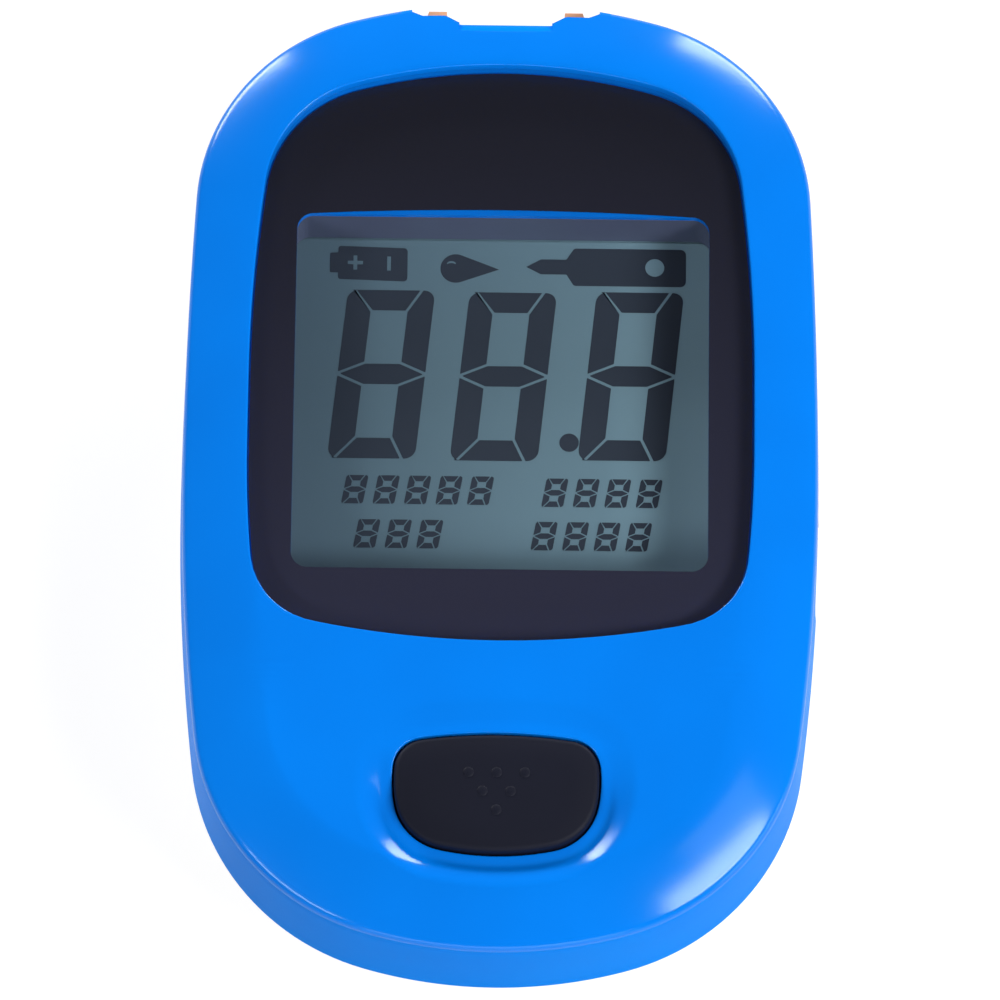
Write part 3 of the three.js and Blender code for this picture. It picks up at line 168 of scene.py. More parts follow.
flank_draft = 0.6 * mm
crease_level = face_level - 2.1 * mm
roll_start = 0.53 * mm
roll_width = 5.6 * mm
roll_fullness = 1.35
crease_inset = 0.85 * mm  # where the rounding of the crease meets the roll
cap_gap = 0.13 * mm
dish_slope = 0.59
dish_floor = 0.65 * mm  # then come the foot of the slope, its straight part and its rounded rim
dish_foot = 0.35 * mm
dish_straight = 1.3 * mm
dish_rim = 0.6 * mm
dish_full_at = -28.5 * mm
dish_shallow_at = -23.5 * mm
dish_shallow = 0.2  # the share of its depth that the dish has above the button
wall = 1.6 * mm
roof = 1.8 * mm
lens_seat = 18.4 * mm
lip_bottom = 17.9 * mm
pan_bottom = 17.0 * mm
rim_room = 1.32 * mm  # beside the window, for the rim of the display's frame
cap_collar = 17.2 * mm


def roll(inset, start=roll_start, foot=crease_level):
    """The level of the face that far in from its outline"""
    share = min(max((inset - start) / roll_width, 0), 1)
    return foot + (face_level - crease_level) * (1 - (1 - share) ** roll_fullness)


def dish(point):
    """How deep the dish of the button is at a plan point"""
    away = max(-cap_outline.depth(point) - cap_gap - dish_floor, 0)
    left = dish_foot + dish_straight + dish_rim - away
    if left <= 0:
        return 0
    if left < dish_rim:
        rise = left**2 / (2 * dish_rim)
    elif away > dish_foot:
        rise = left - dish_rim / 2
    else:
        rise = dish_rim / 2 + dish_straight + dish_foot / 2 - away**2 / (2 * dish_foot)
    up = min(max((point.y - dish_full_at) / (dish_shallow_at - dish_full_at), 0), 1)
    fullness = 1 - (1 - dish_shallow) * up * up * (3 - 2 * up)
    return dish_slope * fullness * rise


def on_face(point):
    """A plan point on the moulded face: rolled at its rim, dished round the button"""
    return Vector((*point, roll(shell_outline.depth(point)) - dish(point)))


def under_roof(point):
    """A plan point on the inside of the face"""
    return Vector((*point, roll(shell_outline.depth(point), roll_start + wall, crease_level - roof)))


def sleeve(bm, rings, start_cap=False, end_cap=False):
    """A skin through rings that have as many points each"""
    place = bm.verts.layers.int.get("place") or bm.verts.layers.int.new("place")
    hoop = bmesh.ops.create_circle(bm, segments=len(rings[0]), radius=1)["verts"]
    for index, vert in enumerate(hoop):
        vert[place] = index
        vert.co = rings[0][index]
    edges = list({edge for vert in hoop for edge in vert.link_edges})
    if start_cap:
        bmesh.ops.contextual_create(bm, geom=edges)
    for ring in rings[1:]:
        grown = bmesh.ops.extrude_edge_only(bm, edges=edges)["geom"]
        verts = {item for item in grown if isinstance(item, bmesh.types.BMVert)}
        sides = [item for item in grown if isinstance(item, bmesh.types.BMEdge)]
        edges = [edge for edge in sides if verts.issuperset(edge.verts)]
        for vert in verts:
            vert.co = ring[vert[place]]
    if end_cap:
        bmesh.ops.contextual_create(bm, geom=edges)


def finished(bm, name, sharp=35):
    """The mesh as an object with closed seams, its faces outwards and sharp edges past that many degrees"""
    bmesh.ops.remove_doubles(bm, verts=bm.verts, dist=same_place)
    bmesh.ops.recalc_face_normals(bm, faces=bm.faces)
    mesh = bpy.data.meshes.new(name)
    bm.to_mesh(mesh)
    bm.free()
    mesh.shade_smooth()
    mesh.set_sharp_from_angle(angle=radians(sharp))
    piece = bpy.data.objects.new(name, mesh)
    bpy.context.scene.collection.objects.link(piece)
    return piece


def trimmed(piece, cutters, sharp=35, how="DIFFERENCE"):
    """Cuts the cutters out of the piece, or joins or crosses it with them, and removes them"""
    for cutter in cutters:
        modifier = piece.modifiers.new("trim", "BOOLEAN")
        modifier.operation = how
        modifier.solver = "EXACT"
        modifier.object = cutter
    bpy.context.view_layer.update()
    result = bpy.data.meshes.new_from_object(piece.evaluated_get(bpy.context.evaluated_depsgraph_get()))
    piece.modifiers.clear()
    piece.data = result
    result.shade_smooth()
    result.set_sharp_from_angle(angle=radians(sharp))
    for cutter in cutters:
        bpy.data.objects.remove(cutter)
    return piece


def prism(name, points, low, high, turn=None):
    """An upright solid over a plan polygon, turned with the matrix where one is given"""
    bm = bmesh.new()
    sleeve(bm, [[Vector((*point, level)) for point in points] for level in (low, high)], True, True)
    if turn:
        bmesh.ops.transform(bm, matrix=turn, verts=bm.verts)
    return finished(bm, name, 20)


def rectangle(left, bottom, right, top):
    return [(left, bottom), (right, bottom), (right, top), (left, top)]


def box(name, low, high):
    return prism(name, rectangle(low[0], low[1], high[0], high[1]), low[2], high[2])


def rounded(points, radii, steps=5):
    """A polygon whose corners are arcs of the given radii"""
    loop = []
    for index, (point, radius) in enumerate(zip(points, radii)):
        corner = Vector(point)
        before = (Vector(points[index - 1]) - corner).normalized()
        after = (Vector(points[(index + 1) % len(points)]) - corner).normalized()
        if radius == 0:
            loop.append(tuple(corner))
            continue
        half_turn = before.angle(after) / 2
        centre = corner + (before + after).normalized() * (radius / sin(half_turn))
        start = atan2(*(corner + before * (radius / sin(half_turn) * cos(half_turn)) - centre).yx)
        turn = (pi - 2 * half_turn) * (1 if before.cross(after) < 0 else -1)
        for step in range(steps + 1):
            angle = start + turn * step / steps
            loop.append((centre.x + radius * cos(angle), centre.y + radius * sin(angle)))
    return loop


def window_plan(grow):
    """The outline of the window in the lens pan, grown all round"""
    low, high = window_low - Vector((grow, grow)), window_high + Vector((grow, grow))
    return rounded(rectangle(*low, *high), [window_corner + grow] * 4, 12)


# In an along_x prism the plan's first axis is Y and its second is Z
along_x = Matrix(((0, 0, 1, 0), (1, 0, 0, 0), (0, 1, 0, 0), (0, 0, 0, 1)))

split_level = -17.0 * mm  # between the lens and the dish of the button
stations = shell_outline.stations((16, 26, 16), split=(-1, -split_level, crease_inset))
split_room = 10 * same_place
corners = [i for i, s in enumerate(stations) if abs(plan(s, crease_inset).y - split_level) < split_room]
left_corner, right_corner = sorted(corners)


def bridge(from_point, to_point, count=34):
    """Points between two points, closer together near both"""
    middle = (from_point + to_point) / 2
    return [middle + (to_point - middle) * sin(pi / 2 * (2 * step / count - 1)) for step in range(1, count)]


def zone(inset, upper):
    """The loop round the part of the face above or below the split"""
    points = [plan(station, inset) for station in stations]
    if upper:
        loop = points[right_corner:] + points[: left_corner + 1]
    else:
        loop = points[left_corner : right_corner + 1]
    return loop + bridge(loop[-1], loop[0])


def lip(outline, gap, radius, height, loop, centre, steps=4):
    """Rings round the edge of an opening, from its rounded lip down to its wall"""
    rings = []
    for step in range(steps + 1):
        turn = pi / 2 * step / steps
        inset = -gap - radius * (1 - sin(turn))
        points = [reach(outline, inset, centre, point) for point in loop]
        rings.append([height(point) - Vector((0, 0, radius * (1 - cos(turn)))) for point in points])
    return rings


def ring_at(outline, inset, level, loop, centre):
    """A level ring at that depth in an outline, or of that radius where there is none"""
    if outline is None:
        return [Vector((*(centre + (point - centre).normalized() * inset), level)) for point in loop]
    return [Vector((*reach(outline, inset, centre, point), level)) for point in loop]


def moulded_face(bm, upper, outline, gap, radius, centre, steps, below):
    """The face round one opening, down its wall and back under the roof"""
    loop = zone(crease_inset, upper)
    inside = zone(wall + flank_draft, upper)
    edge = [reach(outline, -gap - radius, centre, point) for point in loop]
    rings = []
    for step in range(steps):
        rings.append([on_face(a.lerp(b, step / steps)) for a, b in zip(loop, edge)])
    rings += lip(outline, gap, radius, on_face, loop, centre)
    for shape, inset, level in below:
        rings.append(ring_at(shape, inset, level, loop, centre))
    rings.append([under_roof(point) for point in inside])
    sleeve(bm, rings)


def on_curve(points, share):
    """A point of the curve from the first point to the third that the second one bends"""
    weights = ((1 - share) ** 2, 2 * share * (1 - share), share**2)
    return tuple(sum(w * p[axis] for w, p in zip(weights, points)) for axis in (0, 1))


flank_top = 17.6 * mm  # there the flank ends and the rounding of the crease begins
flank_curve = [(0.1 * mm, 10.9 * mm), (0.21 * mm, 13.7 * mm), (0.32 * mm, 16.54 * mm)]
crease_curve = [(0.37 * mm, flank_top), (0.4 * mm, 18.036 * mm), (crease_inset, roll(crease_inset))]
crease_steps = 6
pan_eye = 2 * mm  # the radius of the hole in the pan, which the window opens wider
pan_overlap = 1.4 * mm
collar_wall = 1.35 * mm
collar_foot = 18.0 * mm
lens_lip, lens_middle = 0.15 * mm, Vector((0, 9.0 * mm))
cap_lip, cap_middle = 0.1 * mm, Vector((0, -27.25 * mm))
bm = bmesh.new()
under_corner = under_roof(plan(stations[0], wall + flank_draft)).z
flank_rings = [(wall + flank_draft, under_corner), (wall, parting), (0, parting), *flank_curve]
flank_rings += [on_curve(crease_curve, step / crease_steps) for step in range(crease_steps + 1)]
sleeve(bm, [[Vector((*plan(s, inset), level)) for s in stations] for inset, level in flank_rings])
pan = [
    (lens_outline, -seat_gap, lens_seat),
    (None, pan_eye, lens_seat),
    (None, pan_eye, pan_bottom),
    (lens_outline, -pan_overlap, pan_bottom),
]
collar = [
    (cap_outline, -cap_gap, cap_collar),
    (cap_outline, -collar_wall, cap_collar),
    (cap_outline, -collar_wall, collar_foot),
]
moulded_face(bm, True, lens_outline, seat_gap, lens_lip, lens_middle, 20, pan)
moulded_face(bm, False, cap_outline, cap_gap, cap_lip, cap_middle, 54, collar)
front_shell = finished(bm, "front_shell")

# The corners of the notch from its floor outwards: places across, depths and rounding radii in millimetres
notch_steps = [(3.65, 2.6, 0.7), (4.75, 1.84, 0.5), (6.55, 1.84, 0.4), (7.4, 1.38, 0.1), (7.4, -2, 0)]
right_notch = [(x * mm, half_length - depth * mm) for x, depth, radius in notch_steps]
left_notch = [(-x, y) for x, y in reversed(right_notch)]
notch_rounds = [radius * mm for x, depth, radius in notch_steps]
notch_plan = rounded(left_notch + right_notch, notch_rounds[::-1] + notch_rounds)
notch_half, notch_floor = right_notch[0]
chamfer_low = crease_level + 0.45 * mm
climb = 3 * mm
chamfer = [
    (notch_floor, chamfer_low),
    (notch_floor + climb, chamfer_low),
    (notch_floor + climb, chamfer_low + climb),
    (notch_floor - climb, chamfer_low + climb),
]
port_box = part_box("strip_port_guide")
tongue_low, tongue_high = -9.2 * mm, 20.6 * mm
tongue_foot, tongue_top = parting - 0.22 * mm, 13.9 * mm
tongue_slant = 1.2 * mm
tongue_back = 21 * mm
tongue_shape = [
    (tongue_low - seat_gap, tongue_foot),
    (tongue_high + seat_gap, tongue_foot),
    (tongue_high + seat_gap, tongue_top - tongue_slant),
    (tongue_high - tongue_slant, tongue_top + seat_gap),
    (tongue_low + tongue_slant, tongue_top + seat_gap),
    (tongue_low - seat_gap, tongue_top - tongue_slant),
]
beyond = 2 * half_length
trimmed(
    front_shell,
    [
        prism("window_opening", window_plan(0), pan_bottom - mm, face_level),
        prism("rim_recess", window_plan(rim_room), pan_bottom - mm, lip_bottom),
        prism("notch", notch_plan, parting - mm, face_level + mm),
        prism("notch_chamfer", chamfer, -notch_half, notch_half, along_x),
        box(
            "port_bay",
            (port_box[0].x - seat_gap, port_box[0].y - seat_gap, parting - mm),
            (port_box[1].x + seat_gap, beyond, port_box[1].z + seat_gap),
        ),
        prism("flank_bay", tongue_shape, tongue_back, beyond, along_x),
    ],
)


def new_material(name):
    """A material with its nodes, its links and its shader"""
    material = bpy.data.materials.new(name)
    material.use_nodes = True
    nodes = material.node_tree.nodes
    return material, nodes, material.node_tree.links, nodes["Principled BSDF"]


def noise(nodes, links, scale, detail=2):
    """Noise in the piece's own space, with that many spots to the metre"""
    where = nodes.new("ShaderNodeTexCoord")
    texture = nodes.new("ShaderNodeTexNoise")
    texture.inputs["Scale"].default_value = scale
    texture.inputs["Detail"].default_value = detail
    links.new(where.outputs["Object"], texture.inputs["Vector"])
    return texture.outputs["Fac"]


def ramp(nodes, links, source, stops):
    """Colours by the value of source, as (position, colour) pairs"""
    node = nodes.new("ShaderNodeValToRGB")
    stop_list = node.color_ramp.elements
    for index, (position, colour) in enumerate(stops):
        stop = stop_list[index] if index < 2 else stop_list.new(position)
        stop.position = position
        stop.color = (*colour, 1)
    links.new(source, node.inputs["Fac"])
    return node.outputs["Color"]


def level(nodes, links, source, low, high):
    """The value of source spread from low to high"""
    node = nodes.new("ShaderNodeMapRange")
    node.inputs["To Min"].default_value = low
    node.inputs["To Max"].default_value = high
    links.new(source, node.inputs["Value"])
    return node.outputs["Result"]


def linear(red, green, blue):
    """A colour given as it shows on a screen, from 0 to 255"""
    parts = [part / 255 for part in (red, green, blue)]
    return tuple(part / 12.92 if part <= 0.04045 else ((part + 0.055) / 1.055) ** 2.4 for part in parts)


def drift(dark, light):
    """The two shades between which a colour drifts"""
    return [(0.3, linear(*dark)), (0.7, linear(*light))]


def place_along(nodes, links, axis, low, high):
    """How far along an axis of the piece a point lies, 0 at low and 1 at high"""
    where = nodes.new("ShaderNodeTexCoord")
    split = nodes.new("ShaderNodeSeparateXYZ")
    links.new(where.outputs["Object"], split.inputs["Vector"])
    share = nodes.new("ShaderNodeMapRange")
    share.inputs["From Min"].default_value = low
    share.inputs["From Max"].default_value = high
    links.new(split.outputs[axis], share.inputs["Value"])
    return share.outputs["Result"]


def plastic(name, colours, rough, spread, grain, depth, specular=0.5, tint=(1, 1, 1), span=None):
    """A plastic, rubber or ink whose gloss and surface a fine grain breaks.
    Its colour drifts in soft clouds, or along a span given as an axis and two places on it."""
    material, nodes, links, shader = new_material(name)
    where = place_along(nodes, links, *span) if span else noise(nodes, links, 70)
    links.new(ramp(nodes, links, where, colours), shader.inputs["Base Color"])
    fine = noise(nodes, links, grain, 3)
    links.new(level(nodes, links, fine, rough - spread, rough + spread), shader.inputs["Roughness"])
    bump = nodes.new("ShaderNodeBump")
    bump.inputs["Strength"].default_value = 0.5
    bump.inputs["Distance"].default_value = depth
    links.new(fine, bump.inputs["Height"])
    links.new(bump.outputs["Normal"], shader.inputs["Normal"])
    shader.inputs["Specular IOR Level"].default_value = specular
    shader.inputs["Specular Tint"].default_value = (*tint, 1)
    return material


def dress(piece, material):
    piece.data.materials.clear()
    piece.data.materials.append(material)
    return piece


blue_plastic = plastic(
    "blue_plastic",
    drift((0, 124, 235), (0, 130, 244)),
    rough=0.15,
    spread=0.02,
    grain=5000,
    depth=0.003 * mm,
    specular=0.3,
    tint=(0.85, 1, 1),
)
# Painted light: a rougher copy of the blue that barely reflects, with a base painted lighter than the
# face's blue so the flanks and the notch walls show brighter
flank_blue_painted_light = plastic(
    "flank_blue_painted_light",
    drift((0, 136, 250), (0, 141, 255)),
    rough=0.38,
    spread=0.04,
    grain=4000,
    depth=0.006 * mm,
    specular=0.012,
    tint=(0.65, 1, 1),
)
dress(front_shell, blue_plastic)
front_shell.data.materials.append(flank_blue_painted_light)
# Faces on the flank, and notch walls turned towards the port, take this painted-light blue
painted_flank_depth = 0.36 * mm
notch_reach, notch_back = 8 * mm, 2 * mm
for face in front_shell.data.polygons:
    on_flank = shell_outline.depth(face.center.xy) < painted_flank_depth and face.center.z < flank_top
    at_notch = abs(face.center.x) < notch_reach and face.center.y > notch_floor - notch_back
    in_notch = at_notch and face.normal.y > 0.6
    face.material_index = 1 if on_flank or in_notch else 0
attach(front_shell, "housing")
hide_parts("front_housing")

# Lens
# A clear acrylic plate with a polished edge, set a little below the face in its pan. Its back carries a
# glossy black print that leaves a window for the display, and an adhesive ring holds it down.

lens_top = lens_box[1].z
lens_bottom = lens_box[0].z
lens_edge = 0.2 * mm
lens_chamfer = 0.06 * mm
bm = bmesh.new()
lens_stations = lens_outline.stations((12, 18, 16))
lens_rings = [(2 * lens_chamfer, lens_bottom), (lens_chamfer, lens_bottom), (0, lens_bottom + lens_chamfer)]
for step in range(5):
    turn = pi / 2 * step / 4
    lens_rings.append((lens_edge * (1 - cos(turn)), lens_top - lens_edge * (1 - sin(turn))))
lens_rings.append((lens_edge + lens_chamfer, lens_top))
sleeve(bm, [[Vector((*plan(s, inset), z)) for s in lens_stations] for inset, z in lens_rings], True, True)
lens_plate = finished(bm, "lens_plate", 50)

clear_lens, nodes, links, shader = new_material("clear_lens")
shader.inputs["Base Color"].default_value = (0.02, 0.02, 0.025, 1)
links.new(level(nodes, links, noise(nodes, links, 900), 0.02, 0.05), shader.inputs["Roughness"])
see_through = nodes.new("ShaderNodeBsdfTransparent")
see_through.inputs["Color"].default_value = (0.96, 0.97, 0.98, 1)
edge_on = nodes.new("ShaderNodeFresnel")
edge_on.inputs["IOR"].default_value = 1.49
inner_side = nodes.new("ShaderNodeNewGeometry")
outer_only = nodes.new("ShaderNodeMath")
outer_only.operation = "SUBTRACT"
outer_only.use_clamp = True
links.new(edge_on.outputs["Fac"], outer_only.inputs[0])
links.new(inner_side.outputs["Backfacing"], outer_only.inputs[1])
both = nodes.new("ShaderNodeMixShader")
links.new(outer_only.outputs["Value"], both.inputs["Fac"])
links.new(see_through.outputs["BSDF"], both.inputs[1])
links.new(shader.outputs["BSDF"], both.inputs[2])
links.new(both.outputs["Shader"], nodes["Material Output"].inputs["Surface"])
shader.inputs["Specular IOR Level"].default_value = 1
dress(lens_plate, clear_lens)
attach(lens_plate, "housing")
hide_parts("screen_lens")


def plate(bm, loops, low, high, shear=0, shift=(0, 0)):
    """A thin plate from an outer loop and its holes, leant over to the right and moved to its place"""
    edges = []
    for loop in loops:
        verts = [bm.verts.new((x + shear * y + shift[0], y + shift[1], low)) for x, y in loop]
        edges += [bm.edges.new((verts[i - 1], verts[i])) for i in range(len(verts))]
    filled = bmesh.ops.triangle_fill(bm, edges=edges, use_beauty=True)["geom"]
    faces = [item for item in filled if isinstance(item, bmesh.types.BMFace)]
    grown = bmesh.ops.extrude_face_region(bm, geom=faces)["geom"]
    lifted = [item for item in grown if isinstance(item, bmesh.types.BMVert)]
    bmesh.ops.translate(bm, verts=lifted, vec=(0, 0, high - low))


film_gap = 0.01 * mm
mask_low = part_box("lens_mask")[0].z
mask_high = lens_bottom - film_gap
bm = bmesh.new()
pane_bow = 0.42 * mm  # the upper edge of the clear pane bows up in its middle
bow_steps = 12
pane = []
for x, y in window_plan(0):
    pane.append((x, y))
    ends_corner = abs(x - (window_high.x - window_corner)) < 10 * same_place
    if ends_corner and y > 0:
        for step in range(1, 2 * bow_steps):
            across = 1 - step / bow_steps
            pane.append((across * x, window_high.y + pane_bow * (1 - across**2)))
plate(bm, [[plan(station, 0) for station in lens_stations], pane], mask_low, mask_high)
lens_print = finished(bm, "lens_print", 50)
# The black print is painted lighter towards the button's end and darker towards the top: a painted
# reflection over an even black
black_ink = plastic(
    "black_ink",
    [(0.1, linear(48, 48, 67)), (0.85, linear(31, 31, 43))],
    rough=0.25,
    spread=0.03,
    grain=3000,
    depth=0.002 * mm,
    span=("Y", lens_box[0].y, lens_box[1].y),
)
dress(lens_print, black_ink)
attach(lens_print, "housing")
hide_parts("lens_mask")

tape_colours = drift((20, 20, 22), (28, 28, 31))
black_tape = plastic("black_tape", tape_colours, rough=0.7, spread=0.05, grain=4000, depth=0.01 * mm)
dress(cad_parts["lens_adhesive"], black_tape)

# Button
# A soft silicone cap in a dish of the face, with a pattern of small raised dots. Its flange under the
# collar holds it in, and its post presses the stem of a switch on the board.

cap_shoulder = 19.62 * mm
cap_round = 0.45 * mm
cap_crown, crown_width = 0.15 * mm, 1.75 * mm
flange_bottom, flange_top = 16.05 * mm, 16.95 * mm
cap_steps = 6
bm = bmesh.new()
cap_stations = cap_outline.stations((6, 14, 14))
cap_rings = [(-cap_flange, flange_bottom), (-cap_flange, flange_top), (0, flange_top), (0, cap_shoulder)]
for step in range(1, cap_steps + 1):
    turn = pi / 2 * step / cap_steps
    cap_rings.append((cap_round * (1 - cos(turn)), cap_shoulder + cap_round * sin(turn)))
for step in range(1, cap_steps + 1):
    share = step / cap_steps
    rise = cap_round + cap_crown * (1 - (1 - share) ** 2)
    cap_rings.append((cap_round + crown_width * share, cap_shoulder + rise))
sleeve(bm, [[Vector((*plan(s, inset), z)) for s in cap_stations] for inset, z in cap_rings], True, True)
cap_top = cap_shoulder + cap_round + cap_crown
dot_radius, dot_rise = 0.42 * mm, 0.08 * mm
dot_pitch, dot_row = 2.15 * mm, 1.5 * mm
first_row = cap_box[1].y - cap_flange - 3.15 * mm
for row, count in enumerate((3, 2, 1)):
    for index in range(count):
        x = (index - (count - 1) / 2) * dot_pitch
        y = first_row - row * dot_row
        spot = Matrix.Translation((x, y, cap_top)) @ Matrix.Diagonal((dot_radius, dot_radius, dot_rise, 1))
        bmesh.ops.create_uvsphere(bm, u_segments=18, v_segments=10, radius=1, matrix=spot)
post_middle = (cap_box[0].y + cap_box[1].y) / 2
post_length = flange_bottom - cap_box[0].z
post_radius = 2.2 * mm
bmesh.ops.create_cone(
    bm,
    cap_ends=True,
    segments=40,
    radius1=post_radius,
    radius2=post_radius,
    depth=post_length,
    matrix=Matrix.Translation((0, post_middle, cap_box[0].z + post_length / 2)),
)
button_pad = finished(bm, "button_pad", 40)
button_rubber = plastic(
    "button_rubber",
    drift((11, 14, 29), (16, 19, 36)),
    rough=0.6,
    spread=0.06,
    grain=9000,
    depth=0.01 * mm,
    specular=0.2,
)
dress(button_pad, button_rubber)
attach(button_pad, "button")
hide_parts("button_cap")

# Display
# A liquid-crystal glass with a grey polariser film on it, in a grey frame that presses it on the board
# through a striped rubber connector. Its dark segments and pictograms show on the film.

film_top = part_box("lcd_polariser")[1].z + 0.002 * mm
mark_levels = (film_top, film_top + 0.02 * mm)


def circle(x, y, radius, steps=28):
    turns = [2 * pi * step / steps for step in range(steps)]
    return [(x + radius * cos(turn), y + radius * sin(turn)) for turn in turns]


def shrunk(points, gap):
    """The polygon with each side moved in by the gap"""
    moved = []
    for index, point in enumerate(points):
        corner = Vector(point)
        into = (corner - Vector(points[index - 1])).normalized()
        out = (Vector(points[(index + 1) % len(points)]) - corner).normalized()
        inward = (Vector((-into.y, into.x)) + Vector((-out.y, out.x))).normalized()
        moved.append(tuple(corner + inward * gap / inward.dot(Vector((-into.y, into.x)))))
    return moved


def digit(bm, x, y, width, height, across, up, gap, soft, slant=0.1):
    """A figure eight of seven mitred segments with gaps between them: across and up are the widths of
    its upright and its level segments, and soft rounds its outer corners"""
    spare = gap / 2
    wide, tall = width + gap, height + gap
    thick, flat = across + gap, up + gap
    middle = tall / 2
    near, away = 0.25 * thick, 0.5 * thick
    half = flat / 2
    top = [(near, tall), (thick, tall - flat), (wide - thick, tall - flat), (wide - away, tall)]
    left = [(0, middle), (thick, middle + half), (thick, tall - flat), (near, tall), (0, tall)]
    right = [(wide, middle), (wide, tall), (wide - away, tall)]
    right += [(wide - thick, tall - flat), (wide - thick, middle + half)]
    centre = [(0, middle), (thick, middle - half), (wide - thick, middle - half)]
    centre += [(wide, middle), (wide - thick, middle + half), (thick, middle + half)]
    shapes = [(top, None), (left, 4), (right, 1), (centre, None)]
    for points, outer in shapes[:3]:
        flipped = [(px, tall - py) for px, py in reversed(points)]
        shapes.append((flipped, None if outer is None else len(points) - 1 - outer))
    for points, outer in shapes:
        loop = shrunk(points, spare)
        radii = [soft if index == outer else gap * 0.2 for index in range(len(loop))]
        plate(bm, [rounded(loop, radii)], *mark_levels, slant, (x - spare, y - spare))


def in_mm(points):
    return [(x * mm, y * mm) for x, y in points]


bm = bmesh.new()
large = dict(
    width=6.85 * mm,
    height=14.09 * mm,
    across=1.97 * mm,
    up=1.7 * mm,
    gap=0.22 * mm,
    soft=0.85 * mm,
)
for x, y in in_mm([(-13.55, 2.36), (-3.98, 2.27), (6.0, 2.4)]):
    digit(bm, x, y, **large)
plate(bm, [circle(5.34 * mm, 3.85 * mm, 0.76 * mm)], *mark_levels)
display_digits = finished(bm, "display_digits", 30)
segment_ink = plastic(
    "segment_ink",
    drift((54, 62, 74), (58, 66, 78)),
    rough=0.5,
    spread=0.04,
    grain=6000,
    depth=0.002 * mm,
    specular=0.2,
)
dress(display_digits, segment_ink)
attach(display_digits, "housing")

# The outlines of the pictograms, in millimetres from the middle of the meter
bm = bmesh.new()
battery = [(-13.6, 17.9), (-12.95, 17.9), (-12.95, 17.35), (-7.5, 17.2)]
battery += [(-7.5, 20.0), (-12.95, 20.15), (-12.95, 19.6), (-13.6, 19.55)]
battery_rounds = [radius * mm for radius in (0.1, 0.05, 0.2, 0.3, 0.3, 0.2, 0.05, 0.1)]
plus = [(-12.2, 18.62), (-11.75, 18.6), (-11.75, 18.15), (-11.45, 18.15), (-11.45, 18.6), (-11.0, 18.6)]
plus += [(-11.0, 18.9), (-11.45, 18.9), (-11.45, 19.35), (-11.75, 19.35), (-11.75, 18.9), (-12.2, 18.9)]
minus = rectangle(-9.1, 18.1, -8.8, 19.3)
plate(bm, [rounded(in_mm(battery), battery_rounds), in_mm(plus), in_mm(minus)], *mark_levels)
drop_centre, drop_radius, drop_tip = (-3.7, 18.35), 1.2, (-0.3, 18.3)
drop_steps = 24
lean = sin_turn(drop_radius, drop_tip[0] - drop_centre[0])
drop = [drop_tip]
for step in range(drop_steps + 1):
    turn = pi / 2 - lean + (pi + 2 * lean) * step / drop_steps
    drop.append((drop_centre[0] + drop_radius * cos(turn), drop_centre[1] + drop_radius * sin(turn)))
glint_turns = [pi * step / 8 for step in range(9)]
glint = [(-4.05 + 0.35 * cos(turn), 18.75 + 0.22 * sin(turn)) for turn in glint_turns]
glint += [(-4.05 + 0.3 * cos(turn), 18.7 + 0.1 * sin(turn)) for turn in reversed(glint_turns)]
plate(bm, [in_mm(drop), in_mm(glint)], *mark_levels)
strip = [(1.85, 18.55), (3.0, 17.95), (5.0, 17.95), (5.6, 17.0), (14.4, 17.0)]
strip += [(14.4, 20.15), (5.6, 20.15), (5.0, 19.2), (3.0, 19.2)]
strip_rounds = [radius * mm for radius in (0, 0.05, 0.1, 0.3, 0.45, 0.45, 0.3, 0.1, 0.05)]
strip_hole = circle(11.95 * mm, 18.6 * mm, 0.75 * mm)
plate(bm, [rounded(in_mm(strip), strip_rounds), strip_hole], *mark_levels)
small = dict(width=1.7 * mm, height=2.35 * mm, across=0.5 * mm, up=0.45 * mm, gap=0.1 * mm, soft=0.2 * mm)
small_pitch = 2.45
for x, y, count in ((-12.4, -1.4, 5), (3.2, -1.5, 4), (-11.4, -5.05, 3), (2.4, -5.1, 4)):
    for index in range(count):
        digit(bm, (x + index * small_pitch) * mm, y * mm, **small, slant=0.18)
display_marks = finished(bm, "display_marks", 30)
dress(display_marks, segment_ink)
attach(display_marks, "housing")

# The film's own grey-green, painted lighter towards the right: painted light that offsets the shade the
# window's right wall casts on it
display_film_painted_light = plastic(
    "display_film_painted_light",
    [(0, linear(91, 114, 127)), (0.75, linear(119, 149, 161)), (1, linear(152, 186, 198))],
    rough=0.42,
    spread=0.05,
    grain=9000,
    depth=0.004 * mm,
    specular=0.3,
    span=("X", window_low.x, window_high.x),
)
for name in ("lcd_polariser", "lcd_front_glass", "lcd_rear_glass"):
    dress(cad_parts[name], display_film_painted_light)
frame_colours = drift((84, 92, 116), (92, 100, 126))
frame_plastic = plastic("frame_plastic", frame_colours, rough=0.5, spread=0.05, grain=5000, depth=0.01 * mm)
dress(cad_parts["lcd_frame"], frame_plastic)

# Strip port
# An orange guide stands in the notch of the top end, with a prong at each side of the strip's mouth.
# Behind it a black block holds five sprung contacts.

